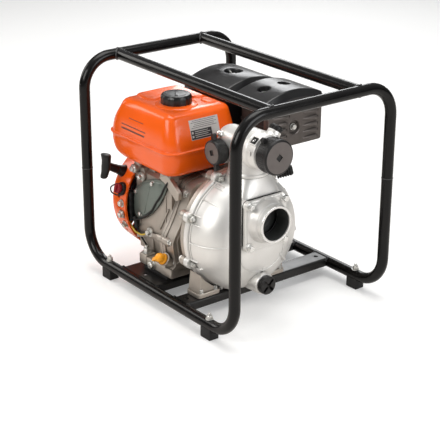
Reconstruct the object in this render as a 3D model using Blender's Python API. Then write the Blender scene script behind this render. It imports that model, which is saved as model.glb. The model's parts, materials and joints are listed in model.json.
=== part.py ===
"""Engine-driven centrifugal water pump in a tubular roll frame.

Origin: centre of the footprint on the floor.  +X points from the recoil
starter to the suction port, -Y ("front") is the side with the fuel tank and
the dipstick, +Y ("rear") the side with the muffler and the air cleaner, +Z is
up.  Lengths are in millimetres and are scaled to metres when a mesh is made.
"""
import math
import bpy
import bmesh
from mathutils import Matrix, Vector

for ob in list(bpy.data.objects):
    bpy.data.objects.remove(ob, do_unlink=True)

MM = 0.001
GAP = 0.3                # running or seating gap between neighbouring pieces
MERGE = 0.001            # points closer than this become one
BOOLEAN_MERGE = 0.0005   # the same, after a boolean
SHARP_ANGLE = math.radians(40.0)
X_AXIS, Y_AXIS, Z_AXIS = Vector((1, 0, 0)), Vector((0, 1, 0)), Vector((0, 0, 1))

# ---- dimensions shared by several sections --------------------------------
TUBE_Y = 185.0                     # frame tube centrelines, half spacing
LOW_Z = 27.0                       # lower tube centreline
TUBE_R = 11.0
COPE_R = TUBE_R + 2 * GAP          # hollow cut in a part that meets a tube
PLATE_TOP = 37                     # top of the cross channels
AXIS_Y, AXIS_Z = -44.0, 155.0      # crank and impeller axis, along X
AXIS = Vector((0, AXIS_Y, AXIS_Z))

# ---- materials: base colour, roughness, metallic ---------------------------
FINISHES = {
    "frame": ((0.012, 0.012, 0.013), 0.25, 0.0),
    "alu": ((0.78, 0.78, 0.77), 0.32, 1.0),
    "cast": ((0.50, 0.46, 0.41), 0.50, 0.8),
    "orange": ((0.80, 0.14, 0.02), 0.22, 0.0),
    "black": ((0.015, 0.015, 0.016), 0.40, 0.0),
    "rubber": ((0.02, 0.02, 0.02), 0.80, 0.0),
    "steel": ((0.60, 0.60, 0.60), 0.35, 1.0),
    "grey": ((0.24, 0.27, 0.25), 0.45, 0.6),
    "dark": ((0.06, 0.055, 0.05), 0.45, 0.4),
    "yellow": ((0.90, 0.42, 0.02), 0.35, 0.0),
    "red": ((0.45, 0.01, 0.02), 0.35, 0.0),
    "foam": ((0.12, 0.12, 0.13), 0.95, 0.0),
}


def material(name, colour, roughness, metallic):
    mat = bpy.data.materials.new(name)
    mat.use_nodes = True
    shader = mat.node_tree.nodes["Principled BSDF"]
    shader.inputs["Base Color"].default_value = (*colour, 1.0)
    shader.inputs["Roughness"].default_value = roughness
    shader.inputs["Metallic"].default_value = metallic
    mat.diffuse_color = (*colour, 1.0)
    return mat


# ---- mesh helpers ----------------------------------------------------------
def link_mesh(name, bm):
    """Frees bm and returns a linked object with its mesh."""
    mesh = bpy.data.meshes.new(name)
    bm.to_mesh(mesh)
    bm.free()
    obj = bpy.data.objects.new(name, mesh)
    bpy.context.scene.collection.objects.link(obj)
    return obj


def clean(bm):
    bmesh.ops.remove_doubles(bm, verts=bm.verts, dist=MERGE)
    bmesh.ops.recalc_face_normals(bm, faces=bm.faces)


def make(name, bm, finish, origin=(0, 0, 0)):
    """Turns a bmesh in mm into a named object whose origin is `origin`."""
    clean(bm)
    origin = Vector(origin)
    for v in bm.verts:
        v.co = (v.co - origin) * MM
    obj = link_mesh(name, bm)
    obj.data.shade_smooth()
    obj.data.set_sharp_from_angle(angle=SHARP_ANGLE)
    obj.location = origin * MM
    obj.data.materials.append(material(name + "_finish", *FINISHES[finish]))


def skin(rings, closed=False):
    """Skin between rings of points; a ring of one point closes to a tip."""
    bm = bmesh.new()
    loops = [[bm.verts.new(p) for p in ring] for ring in rings]
    pairs = list(zip(loops[:-1], loops[1:]))
    if closed:
        pairs.append((loops[-1], loops[0]))
    for a, b in pairs:
        if len(a) == 1 and len(b) == 1:
            continue
        count = max(len(a), len(b))
        for i in range(count):
            j = (i + 1) % count
            if len(a) == 1:
                bm.faces.new((a[0], b[i], b[j]))
            elif len(b) == 1:
                bm.faces.new((a[i], b[0], a[j]))
            else:
                bm.faces.new((a[i], b[i], b[j], a[j]))
    if not closed:
        for loop in (loops[0], loops[-1]):
            if len(loop) > 1:
                bm.faces.new(loop)
    return bm


def basis(axis):
    along = Vector(axis).normalized()
    helper = Z_AXIS if abs(along.z) < 0.9 else X_AXIS
    across = helper.cross(along).normalized()
    return along, across, along.cross(across)


def lathe(profile, centre, axis, seg, closed=False):
    """Turned body: profile of (distance along axis from centre, radius)."""
    along, u, w = basis(axis)
    centre = Vector(centre)
    rings = []
    for distance, radius in profile:
        hub = centre + along * distance
        if radius <= 1e-6:
            rings.append([hub])
        else:
            rings.append([hub + (u * math.cos(t) + w * math.sin(t)) * radius
                          for t in (2 * math.pi * k / seg for k in range(seg))])
    bm = skin(rings, closed)
    bmesh.ops.recalc_face_normals(bm, faces=bm.faces)
    return bm


def turned(profile, seg, closed=False):
    """Body turned about the crank axis: profile of (x, radius)."""
    return lathe(profile, AXIS, X_AXIS, seg, closed)


def rod(a, b, radius, seg):
    a, b = Vector(a), Vector(b)
    return lathe([(0, radius), ((b - a).length, radius)], a, b - a, seg)


def rod_along(point, direction, start, end, radius, seg):
    return rod(point + direction * start, point + direction * end, radius, seg)


def rod_x(x0, x1, y, z, radius, seg):
    return lathe([(x0, radius), (x1, radius)], (0, y, z), X_AXIS, seg)


def rod_z(x, y, z0, z1, radius, seg):
    return lathe([(z0, radius), (z1, radius)], (x, y, 0), Z_AXIS, seg)


def box(x0, x1, y0, y1, z0, z1, bevel=0.0, seg=1):
    bm = bmesh.new()
    bmesh.ops.create_cube(bm, size=1.0)
    for v in bm.verts:
        v.co = Vector(((x0 + x1) / 2 + v.co.x * (x1 - x0),
                       (y0 + y1) / 2 + v.co.y * (y1 - y0),
                       (z0 + z1) / 2 + v.co.z * (z1 - z0)))
    if bevel > 0:
        bmesh.ops.bevel(bm, geom=list(bm.edges), offset=bevel, segments=seg,
                        profile=0.5, affect='EDGES', clamp_overlap=True)
    return bm


def box_about(x, y, half_x, half_y, z0, z1, bevel=0.0, seg=1):
    return box(x - half_x, x + half_x, y - half_y, y + half_y, z0, z1, bevel, seg)


def slab(points, axis, low, high):
    """Extrudes a closed outline. axis X: (y, z); axis Y: (x, z)."""
    def at(p, t):
        return Vector((t, p[0], p[1])) if axis == 'X' else Vector((p[0], t, p[1]))
    return skin([[at(p, t) for p in points] for t in (low, high)])


def rounded(x0, x1, y0, y1, radius, steps=3):
    """Rectangle outline with rounded corners."""
    points = []
    for x, y, start in ((x1 - radius, y1 - radius, 0), (x0 + radius, y1 - radius, 90),
                        (x0 + radius, y0 + radius, 180), (x1 - radius, y0 + radius, 270)):
        for k in range(steps + 1):
            t = math.radians(start + 90.0 * k / steps)
            points.append((x + radius * math.cos(t), y + radius * math.sin(t)))
    return points


def arch(x0, x1, y0, y1, z_low, z_edge, z_crown, inset_x):
    """Body with straight skirts, a top arched from -Y to +Y and lowered X ends."""
    spans = 6
    y_mid, half = (y0 + y1) / 2, (y1 - y0) / 2
    profile = [(y0, z_low)]
    for k in range(spans + 1):
        s = -1 + 2.0 * k / spans
        profile.append((y_mid + half * s, z_edge + (z_crown - z_edge) * (1 - s * s)))
    profile.append((y1, z_low))
    lowered = [(y, z if z <= z_low else z_edge + (z - z_edge) * 0.55 - 4.0) for y, z in profile]
    stations = ((x0, lowered), (x0 + inset_x, profile), (x1 - inset_x, profile), (x1, lowered))
    return skin([[Vector((x, y, z)) for y, z in points] for x, points in stations])


def arched_cover(x0, x1, y0, y1, z_low, z_cut, z_edge, z_crown, inset_x):
    """Arched shell, 3 thick at the sides and 4 on top; its hollow starts at z_cut."""
    return cut(arch(x0, x1, y0, y1, z_low, z_edge, z_crown, inset_x),
               arch(x0 + 3, x1 - 3, y0 + 3, y1 - 3, z_cut, z_edge - 4, z_crown - 4, inset_x))


def turn(degrees, axis):
    return Matrix.Rotation(math.radians(degrees), 4, axis)


def z_onto(direction):
    return Z_AXIS.rotation_difference(direction).to_matrix().to_4x4()


def place(bm, point, rotation):
    bmesh.ops.transform(bm, matrix=Matrix.Translation(point) @ rotation, verts=bm.verts)
    return bm


def combine(bm, others, operation):
    """Boolean of bm with each closed mesh in others, in order; all are used up."""
    clean(bm)
    work = link_mesh("work", bm)
    for other in others:
        clean(other)
        tool = link_mesh("work", other)
        mod = work.modifiers.new("boolean", 'BOOLEAN')
        mod.operation = operation
        mod.solver = 'EXACT'
        mod.object = tool
        graph = bpy.context.evaluated_depsgraph_get()
        graph.update()
        result = bpy.data.meshes.new_from_object(work.evaluated_get(graph))
        work.modifiers.clear()
        work.data = result
        bpy.data.objects.remove(tool, do_unlink=True)
    out = bmesh.new()
    out.from_mesh(work.data)
    bpy.data.objects.remove(work, do_unlink=True)
    bmesh.ops.dissolve_degenerate(out, edges=out.edges, dist=BOOLEAN_MERGE)
    bmesh.ops.remove_doubles(out, verts=out.verts, dist=BOOLEAN_MERGE)
    return out


def union(bm, *others):
    return combine(bm, others, 'UNION')


def cut(bm, *others):
    return combine(bm, others, 'DIFFERENCE')


def intersect(bm, *others):
    return combine(bm, others, 'INTERSECT')


def around_axis(degrees, radius):
    """Point about the crank axis at x = 0; 0 degrees is +Y, 90 is +Z."""
    t = math.radians(degrees)
    return Vector((0, AXIS_Y + radius * math.cos(t), AXIS_Z + radius * math.sin(t)))


# ========================= FRAME ============================================
POST_X = 243.0                     # end tube centrelines, half spacing
TOP_Z = 444.0                      # upper tube centreline
BEND_TOP, BEND_LOW = 60.0, 62.0    # bend radii
BEND_STEPS = 4
TUBE_SEG, COPE_SEG = 12, 20
RAIL_Y = 104.5                     # the two straight top rails
FOOT_X = 168.0


def loop_stations():
    """Centreline of the single bent tube, as (point, tangent) samples."""
    low, top = (LOW_Z, BEND_LOW), (TOP_Z, BEND_TOP)
    corners = [(x, side * TUBE_Y, *level) for side, x, level in (
        (-1, -POST_X, top), (-1, -POST_X, low), (-1, POST_X, low), (-1, POST_X, top),
        (1, POST_X, top), (1, POST_X, low), (1, -POST_X, low), (1, -POST_X, top))]
    stations = []
    for i, (*corner, radius) in enumerate(corners):
        corner = Vector(corner)
        before = (corner - Vector(corners[i - 1][:3])).normalized()
        after = (Vector(corners[(i + 1) % len(corners)][:3]) - corner).normalized()
        centre = corner - before * radius + after * radius
        for k in range(BEND_STEPS + 1):
            t = math.radians(90.0 * k / BEND_STEPS)
            stations.append((
                centre - after * radius * math.cos(t) + before * radius * math.sin(t),
                (before * math.cos(t) + after * math.sin(t)).normalized()))
    return stations


def sweep_loop(stations, radius, seg):
    """Closed tube; the last ring joins the first with the twist taken up by an index shift."""
    last_tangent = stations[0][1]
    normal = (X_AXIS - last_tangent * X_AXIS.dot(last_tangent)).normalized()
    frames = []
    for point, tangent in stations:
        normal = last_tangent.rotation_difference(tangent) @ normal
        normal = (normal - tangent * normal.dot(tangent)).normalized()
        last_tangent = tangent
        frames.append((point, tangent, normal.copy()))
    _, start_tangent, first = frames[0]
    back = last_tangent.rotation_difference(start_tangent) @ normal
    twist = math.atan2(first.cross(back).dot(start_tangent), first.dot(back))
    shift = -int(round(twist / (2 * math.pi / seg))) % seg
    bm = bmesh.new()
    rings = []
    for point, tangent, normal in frames:
        side = tangent.cross(normal)
        rings.append([bm.verts.new(point + (normal * math.cos(t) + side * math.sin(t)) * radius)
                      for t in (2 * math.pi * k / seg for k in range(seg))])
    for i, a in enumerate(rings):
        b = rings[(i + 1) % len(rings)]
        step = shift if i == len(rings) - 1 else 0
        for k in range(seg):
            j = (k + 1) % seg
            bm.faces.new((a[k], b[(k + step) % seg], b[(j + step) % seg], a[j]))
    return bm


make("frame_loop", sweep_loop(loop_stations(), TUBE_R, TUBE_SEG), "frame")

for y, name in ((-RAIL_Y, "top_rail_front"), (RAIL_Y, "top_rail_rear")):
    rail = cut(rod_x(-POST_X, POST_X, y, TOP_Z, TUBE_R, TUBE_SEG),
               *[rod((x, y - 40, TOP_Z), (x, y + 40, TOP_Z), COPE_R, COPE_SEG)
                 for x in (-POST_X, POST_X)])
    # Drops the slivers that the cope leaves outside the end tubes.
    make(name, intersect(rail, box_about(0, y, POST_X - 2, 30, TOP_Z - 30, TOP_Z + 30)), "frame")


def channel(x0, x1):
    """Pressed channel, open underneath, along Y between the lower tubes."""
    half_y, depth, wall = 178.5, 17, 3.0
    top, foot = PLATE_TOP, PLATE_TOP - depth
    bm = slab([(x0, foot), (x0, top), (x1, top), (x1, foot), (x1 - wall, foot),
               (x1 - wall, top - wall), (x0 + wall, top - wall), (x0 + wall, foot)],
              'Y', -half_y, half_y)
    for y in (-TUBE_Y, TUBE_Y):
        bm = cut(bm, rod_x(x0 - 20, x1 + 20, y, LOW_Z, COPE_R, COPE_SEG))
    return bm


make("engine_cross_plate", channel(-128, -12), "frame")
make("pump_cross_member", channel(49, 91), "frame")

for x, name_x in ((-FOOT_X, "left"), (FOOT_X, "right")):
    for y, name_y in ((-TUBE_Y, "front"), (TUBE_Y, "rear")):
        foot = cut(box_about(x, y, 14.5, TUBE_R, 0, 25),
                   rod_x(x - 40, x + 40, y, LOW_Z, COPE_R, COPE_SEG))
        # Only the pad below the tube stays.
        foot = intersect(foot, box_about(x, y, 30, 30, -5, 21.5))
        make("foot_%s_%s" % (name_y, name_x), foot, "rubber")

# ========================= ENGINE BLOCK =====================================
ENGINE_FLOOR = 48
ENG_X0, ENG_X1 = -145.0, -20.0     # crankcase ends
TANK_FLOOR = 254.5                 # level of the supports under the tank
BORE_TILT = 25.0                   # cylinder leans towards +Y
BORE_R = 34.0
STROKE = 54.0
HEAD_START, ROCKER_START = 145, 193   # distances along the bore from the crank
BORE_DIR = Vector((0, math.cos(math.radians(BORE_TILT)), math.sin(math.radians(BORE_TILT))))
BORE_FOOT = Vector((-80.0, AXIS_Y, AXIS_Z))

DIPSTICK = Vector((-6.0, -158.0, 88.0))
DIPSTICK_DIR = Vector((0, -0.85, 0.527)).normalized()
SPARK_PLUG = Vector((-29.0, 130.0, 197.0))
SPARK_DIR = Vector((0.52, 0.82, 0.22)).normalized()
OIL_DRAIN_X, OIL_DRAIN_Z = -62, 57

for name, y0, y1 in (("rubber_mount_front", -150, -118), ("rubber_mount_rear", 32, 64)):
    make(name, box(-98, -16, y0, y1, PLATE_TOP + GAP, ENGINE_FLOOR - GAP, 2.0), "rubber")


def bore_box(start, end, half_x, half_across, bevel=0.0):
    """Box between two distances along the bore."""
    return place(box(-half_x, half_x, start, end, -half_across, half_across, bevel),
                 BORE_FOOT, turn(BORE_TILT, 'X'))


# Crankcase with its base, cylinder barrel and three top pillars.
CASE_OUTLINE = [(-128, 62), (-131, 112), (-131, 205), (-104, 236),      # (y, z)
                (-20, 240), (40, 226), (66, 180), (66, 62)]
case = union(slab(CASE_OUTLINE, 'X', ENG_X0, ENG_X1),
             box(-108, 2, -152, 72, ENGINE_FLOOR, 66, 1.5),
             bore_box(20, HEAD_START - GAP, 48, 44),
             box(-120, -98, -118, -60, 225, TANK_FLOOR, 2.0),
             box(-52, -30, -118, -60, 225, TANK_FLOOR, 2.0),
             box(-138, -118, 30, 50, 190, 262 - GAP, 2.0))
crank_chamber = turned([(-126, 62), (-10, 62)], 20)
cam_pocket = box(-126, -98, -108, -54, 84, 134)
sump = box(-98.5, -10, -116, 50, 56, 130)
shaft_hole = turned([(-150, 14), (-120, 14)], 16)
case = cut(case, crank_chamber, cam_pocket, sump, shaft_hole,
           rod_along(BORE_FOOT, BORE_DIR, 30, 160, BORE_R, 24))
case = cut(case, rod((OIL_DRAIN_X, -170, OIL_DRAIN_Z), (OIL_DRAIN_X, -120, OIL_DRAIN_Z), 5.5, 10))
make("crankcase", case, "cast")

COVER_OUTLINE = [                                                       # (y, z)
    (-152, 78), (-158, 118), (-156, 134), (-139, 164), (-121, 204), (-116, 222), (-103, 236),
    (-78, 244), (-4, 243), (40, 214), (56, 160), (54, 96), (44, 67), (-132, 67)]
cover = union(slab(COVER_OUTLINE, 'X', ENG_X1 + GAP, 16),
              rod_along(DIPSTICK, DIPSTICK_DIR, -19, 8, 12.0, 12))
cover = cut(cover, turned([(-30, 14), (30, 14)], 16),
            rod_along(DIPSTICK, DIPSTICK_DIR, -28, 40, 8.0, 12))
make("crankcase_cover", cover, "cast")


def side_plate_outline():
    """Circle of radius 46, stretched towards +X and flattened below: (x, z)."""
    points = []
    for k in range(20):
        c, s = math.cos(2 * math.pi * k / 20), math.sin(2 * math.pi * k / 20)
        points.append((-105 + 46 * c * (1.0 if c < 0 else 1.12),
                       176 + 46 * s * (1.0 if s > 0 else 0.92)))
    return points


make("crankcase_side_plate", slab(side_plate_outline(), 'Y', -136, -131 - GAP), "grey")

# The head has a plug hole with a wider well for the cap.
head = cut(bore_box(HEAD_START, ROCKER_START, 50, 46, 2.0),
           rod_along(SPARK_PLUG, SPARK_DIR, -26, 30, 9.6, 12),
           rod_along(SPARK_PLUG, SPARK_DIR, 4.5, 50, 13.0, 12))
make("cylinder_head", head, "cast")
make("rocker_cover", bore_box(ROCKER_START + GAP, 217, 44, 40, 5.0), "cast")

CROWN_AT, PISTON_LEN = 117.0, 36
piston = lathe([(0, 33.4), (PISTON_LEN, 33.4), (PISTON_LEN, 27.5), (8, 27.5)],
               BORE_FOOT + BORE_DIR * CROWN_AT, -BORE_DIR, 20)
make("piston", piston, "steel", BORE_FOOT + BORE_DIR * (CROWN_AT - PISTON_LEN / 2))

# Crankshaft: tail through the flywheel, two webs with the throw between, output end.
shaft = turned([(-203, 9), (-160, 9), (-160, 11), (-118, 11), (-118, 38), (-100, 38), (-100, 13),
                (-60, 13), (-60, 38), (-44, 38), (-44, 12), (-10, 12), (92, 12), (92, 8),
                (100, 8)], 16)
shaft = cut(shaft, turned([(-99, 26), (-61, 26)], 20))
shaft = union(shaft, rod_x(-103, -57, AXIS_Y, AXIS_Z + STROKE / 2, 12, 16))
make("crankshaft", shaft, "steel", AXIS)

# Camshaft: gear disc at the -X end, then two lobes.
CAM_AXIS = (0, AXIS_Y - 40, AXIS_Z - 46)
CAM_PROFILE = [(-120, 6), (-112, 6), (-112, 22), (-104, 22), (-104, 7), (-90, 7), (-90, 12),
               (-80, 12), (-80, 7), (-66, 7), (-66, 12), (-56, 12), (-56, 7), (-30, 7)]
make("camshaft", lathe(CAM_PROFILE, CAM_AXIS, X_AXIS, 12), "steel", CAM_AXIS)

# ========================= FLYWHEEL AND STARTER =============================
HOUSING_FACE = -205
FAN_BLADES = 8
ROPE_EXIT = Vector((-185.0, -139.0, 218.0))
ROPE_DIR = Vector((0, -0.887, 0.461))

flywheel = turned([(-190, 11 + GAP), (-190, 30), (-178, 84), (-168, 84), (-168, 34), (-158, 30),
                   (-158, 11 + GAP)], 16, closed=True)
blades = [place(box(-198, -176, -1.5, 1.5, 48, 82), AXIS, turn(360.0 / FAN_BLADES * k, 'X'))
          for k in range(FAN_BLADES)]
make("flywheel", union(flywheel, *blades), "cast", (-175, AXIS_Y, AXIS_Z))

# Fan housing, flat on top below the tank, with a boot where the rope leaves to the front.
shell = intersect(turned([(-148, 114), (-199, 111), (-204.5, 104), (HOUSING_FACE, 40)], 24),
                  box(-220, -140, -200, 200, 0, TANK_FLOOR))
hollow = intersect(turned([(-140, 110.5), (-199, 107), (-202, 98), (-202, 40)], 20),
                   box(-220, -130, -200, 200, 0, TANK_FLOOR - 3))
housing = cut(shell, hollow, turned([(-230, 60), (-190, 60)], 20))
housing = union(housing, rod_along(ROPE_EXIT, ROPE_DIR, -6, 12, 10, 12))
housing = cut(housing, rod_along(ROPE_EXIT, ROPE_DIR, -30, 40, 4.0, 10))
make("fan_housing", housing, "orange")

rim = HOUSING_FACE - GAP
dish = turned([(rim, 84), (rim, 58), (-209, 56), (-224, 44), (-224, 12), (-227, 12), (-227, 46),
               (-211, 80)], 20, closed=True)
spindle = turned([(-227, 0), (-227, 14), (-224.5, 14), (-224.5, 10.6), (-208, 10.6),
                  (-208, 0)], 16)
make("recoil_cover", union(dish, spindle), "orange")
pulley = turned([(-221, 11), (-221, 40), (-217.5, 40), (-217.5, 34), (-212.5, 34), (-212.5, 40),
                 (-209.5, 40), (-209.5, 11)], 16, closed=True)
make("recoil_pulley", pulley, "black", (-215, AXIS_Y, AXIS_Z))

# T-shaped pull handle: stem on the rope line, bar across it.
stem_start = ROPE_EXIT + ROPE_DIR * 13.0
stem = lathe([(0, 6), (4, 7.5), (14, 7.5), (24, 6.5), (34, 6.5)], stem_start, ROPE_DIR, 12)
bar = lathe([(-24, 5), (-22, 8), (-8, 8.5), (8, 8.5), (22, 8), (24, 5)],
            ROPE_EXIT + ROPE_DIR * 43.0, (0.0, 0.30, 0.954), 14)
handle = cut(union(stem, bar), rod_along(stem_start, ROPE_DIR, -5, 22, 2.6, 8))
make("pull_handle", handle, "black", stem_start)

# Rotary switch standing on the fan housing.
switch_dir = (around_axis(163, 1.0) - AXIS).normalized()
switch_at = Vector((-165, AXIS_Y, AXIS_Z)) + switch_dir * 114.5
body = lathe([(0, 15), (14, 15), (16, 13), (16, 6.4), (6, 6.4), (6, 0)], switch_at, switch_dir, 18)
make("switch_body", body, "black")
knob = lathe([(0, 6), (10.5, 6), (10.5, 11), (18, 10), (18, 0)],
             switch_at + switch_dir * 6.3, switch_dir, 16)
grip = place(box(-2.5, 2.5, -9.5, 9.5, 0, 6), switch_at + switch_dir * 22, z_onto(switch_dir))
make("switch_knob", union(knob, grip), "red", switch_at)

# ========================= FUEL TANK ========================================
TANK_X0, TANK_X1, TANK_Y0, TANK_Y1 = -218.0, 4.0, -156.0, 22.0   # footprint of the seam
CAP_XY = (-77.0, -80.0)
FILLER_TOP = 381
# Insets from the -X, +X, -Y and +Y sides, corner radius, height.
TANK_OUTER = [(50, 15, 12, 18, 22, 254.8), (24, 7, 6, 8, 26, 260), (8, 4, 4, 4, 28, 272),
              (3, 3, 3, 3, 28, 301), (0, 0, 0, 0, 30, 302), (0, 0, 0, 0, 30, 307),
              (3, 3, 3, 3, 28, 308), (14, 10, 6, 6, 25, 336), (32, 19, 13, 10, 20, 366),
              (36, 23, 17, 13, 18, 372), (44, 32, 26, 22, 14, 375)]
TANK_INNER = [(50, 18, 16, 20, 20, 259), (11, 8, 8, 8, 26, 274), (3, 3, 3, 3, 28, 305),
              (16, 12, 8, 8, 24, 336), (34, 21, 15, 12, 18, 366), (48, 36, 30, 26, 10, 371)]


def tank_body(rows, wall):
    """Skin through rounded rectangles, each drawn in by `wall`."""
    return skin([[Vector((x, y, z)) for x, y in rounded(
        TANK_X0 + left + wall, TANK_X1 - right - wall,
        TANK_Y0 + front + wall, TANK_Y1 - rear - wall, max(radius - wall, 4))]
        for left, right, front, rear, radius, z in rows])


tank = union(tank_body(TANK_OUTER, 0), rod_z(*CAP_XY, 366, FILLER_TOP, 23, 20))
tank = cut(tank, tank_body(TANK_INNER, 2.5), rod_z(*CAP_XY, 350, 400, 19, 20))
make("fuel_tank", tank, "orange")

cap_seat = FILLER_TOP + 0.5 + GAP
cap = lathe([(397, 0), (397, 26), (394, 30.5), (376, 31), (376, 24), (cap_seat, 24),
             (cap_seat, 0)], (*CAP_XY, 0), Z_AXIS, 24)
make("fuel_cap", cap, "black", (*CAP_XY, 385))

# ========================= INTAKE SIDE ======================================
THROAT_XY = (-156, 122)      # vertical pipe between carburettor and air cleaner
CARB_REAR = 146
CARB_TOP = 270
CLEANER_XY = (-115, 91)
NUT_SEAT = 389

carb = union(box(-172, -140, 98, CARB_REAR, 224, 262, 3.0),
             rod_z(*THROAT_XY, 258, CARB_TOP, 19, 20), rod_z(*THROAT_XY, 206, 226, 15, 20),
             rod_x(-141, -131, THROAT_XY[1], 243, 16, 18))
make("carburettor", carb, "cast")

# Name, pivot height, pivot x, signed length of the arm along X.
for name, z, x, length in (("choke_lever", 250.0, -160.0, 26.0),
                           ("fuel_cock_lever", 233.0, -152.0, -24.0)):
    pivot = lathe([(0, 6), (7, 6)], (x, CARB_REAR + GAP, z), Y_AXIS, 14)
    arm = box(*sorted((x, x + length)), 148.5, 152.5, z - 3.5, z + 3.5, 1.0)
    make(name, union(pivot, arm), "black", (x, 150, z))
PIVOT = (-128, 40, 262)
throttle = union(lathe([(0, 8), (4, 8)], PIVOT, Z_AXIS, 16),
                 box(-182, -126, 36.5, 43.5, 262, 265, 0.8), box(-190, -180, 32, 48, 261, 270, 2.0))
make("throttle_lever", throttle, "black", PIVOT)

# Air cleaner: tray with duct and centre stud, element, arched cover, wing nut.
tray = cut(box_about(*CLEANER_XY, 63, 67, 292, 320, 6.0),
           box_about(*CLEANER_XY, 58, 62, 297, 330, 3.0))
tray = union(tray, rod_z(*THROAT_XY, CARB_TOP + GAP, 295, 19, 16))
tray = union(tray, rod_z(*CLEANER_XY, 290, 392, 3.0, 10))
tray = cut(tray, rod_z(*THROAT_XY, 262, 310, 14, 16))
make("air_cleaner_base", tray, "black")
element = cut(box_about(*CLEANER_XY, 53, 55, 297 + GAP, 358, 4.0),
              box_about(*CLEANER_XY, 35, 37, 290, 350), rod_z(*CLEANER_XY, 340, 370, 5.0, 12))
make("air_filter_element", element, "foam")

cover = arched_cover(-184, -46, 18, 164, z_low=322, z_cut=310, z_edge=386, z_crown=404, inset_x=8)
cover = union(cover, rod_z(*CLEANER_XY, 386, 403, 20, 20))
cover = cut(cover, rod_z(*CLEANER_XY, NUT_SEAT, 410, 17, 20),
            rod_z(*CLEANER_XY, 380, 395, 4.0, 12))
make("air_cleaner_cover", cover, "black")
nut = lathe([(NUT_SEAT + GAP, 8), (397, 7), (397, 3.3), (NUT_SEAT + GAP, 3.3)],
            (*CLEANER_XY, 0), Z_AXIS, 16, closed=True)
wings = [box_about(CLEANER_XY[0] + dx, CLEANER_XY[1], 3.25, 1.7, 391, 401, 0.8)
         for dx in (-9.75, 9.75)]
make("air_cleaner_wing_nut", union(nut, *wings), "steel", (*CLEANER_XY, 392))

# ========================= EXHAUST SIDE AND SMALL FITTINGS ==================
MUFFLER_XY = (18, 96)
TAIL_AXIS = (0, 106, 338)    # round cup in the shield, along X

muffler = union(box_about(*MUFFLER_XY, 48, 62, 300, 374, 12.0, 2),
                box(-44, -20, 110, 138, 282, 322, 3.0))
make("muffler", cut(muffler, rod_z(*MUFFLER_XY, 290, 320, 11, 16)), "dark")

shield = cut(box(69, 72, 29, 165, 295, 376, 0.8),
             lathe([(60, 15), (80, 15)], TAIL_AXIS, X_AXIS, 20))
cup = lathe([(71.2, 17.5), (71.6, 14.2), (67.6, 11), (67.6, 0), (66.4, 0), (66.4, 12.2),
             (69.6, 17.5)], TAIL_AXIS, X_AXIS, 20, closed=True)
make("muffler_shield", union(shield, cup), "dark")

# Top cover with two round raised rims.
cover = arched_cover(-34, 76, 26, 168, z_low=377, z_cut=370, z_edge=388, z_crown=407, inset_x=7)
for y in (62, 110):
    cover = union(cover, rod_z(20, y, 386, 404, 15, 14))
    cover = cut(cover, rod_z(20, y, 390, 420, 12.5, 14))
make("muffler_top_cover", cover, "black")

plug = lathe([(-24, 5), (-8, 5), (-8, 9), (4, 9), (4, 5), (26, 4), (30, 2.5)],
             SPARK_PLUG, SPARK_DIR, 12)
make("spark_plug", plug, "steel")
plug_cap = lathe([(6, 12), (13, 12), (14, 10.5), (18, 10.5), (19, 12), (24, 12), (25, 10.5),
                  (29, 10.5), (30, 12), (38, 11), (41, 8), (41, 0), (33, 0), (33, 5.6), (6, 5.6)],
                 SPARK_PLUG, SPARK_DIR, 12, closed=True)
make("spark_plug_cap", plug_cap, "rubber", SPARK_PLUG)

dipstick = lathe([(-26, 2.2), (-6, 2.2), (-6, 7.2), (8.3, 7.2), (8.3, 13), (14, 13), (14, 8),
                  (15, 8)], DIPSTICK, DIPSTICK_DIR, 16)
wing = place(box(-4, 4, -12, 12, 13, 30, 2.0), DIPSTICK, z_onto(DIPSTICK_DIR) @ turn(70, 'Z'))
make("dipstick", union(dipstick, wing), "yellow", DIPSTICK)


def oil_drain_rod(y0, y1, radius, seg):
    return rod((OIL_DRAIN_X, y0, OIL_DRAIN_Z), (OIL_DRAIN_X, y1, OIL_DRAIN_Z), radius, seg)


bolt = union(oil_drain_rod(-152 - GAP, -159, 8.0, 6), oil_drain_rod(-155, -128, 5.0, 10))
make("oil_drain_bolt", bolt, "steel", (OIL_DRAIN_X, -152, OIL_DRAIN_Z))

# ========================= PUMP =============================================
PUMP_DX = 8.0                      # pump pieces are drawn this far short along X
FLANGE_X, FLANGE_R = 51, 121.0     # joint between bracket and casing
LUG_ANGLES = [22.5 + 45.0 * k for k in range(8)]
LUG_R = 10.5
FACE_X = 141.0                     # +X face of the pump casing
PORT_Z = 199.0                     # suction port axis height
PORT_R, PORT_BORE = 37.0, 32.0
PORT_LIP = 181.0
SQUARE_Z = PORT_Z - 5              # centre height of the square suction cover
NECK_X, NECK_R = 96.0, 38.0        # discharge neck on top of the casing
NECK_BORE = NECK_R - 7
NECK_TOP = 279.0                   # joint between the casing and the manifold
DRAIN_Z = 66.0


def fit(name, bm, finish, origin=None):
    """Makes a pump piece, moved PUMP_DX forward; a given origin moves with it."""
    shift = Vector((PUMP_DX, 0, 0))
    bmesh.ops.translate(bm, verts=bm.verts, vec=shift)
    make(name, bm, finish, (0, 0, 0) if origin is None else Vector(origin) + shift)


def lugs(x0, x1, radius):
    """Eight-sided bosses around the flange."""
    return [rod_x(x0, x1, *around_axis(angle, FLANGE_R).yz, radius, 8) for angle in LUG_ANGLES]


def below_feet():
    """Block that trims a piece just above the cross member."""
    return box(20, 100, AXIS_Y - 95, AXIS_Y + 95, 0, PLATE_TOP + 2 * GAP)


def port_hole(x0, x1, radius):
    return rod_x(x0, x1, AXIS_Y, PORT_Z, radius, 20)


def suction_square(half, x0, x1, steps):
    return slab(rounded(AXIS_Y - half, AXIS_Y + half, SQUARE_Z - half, SQUARE_Z + half,
                        12, steps), 'X', x0, x1)


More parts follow.
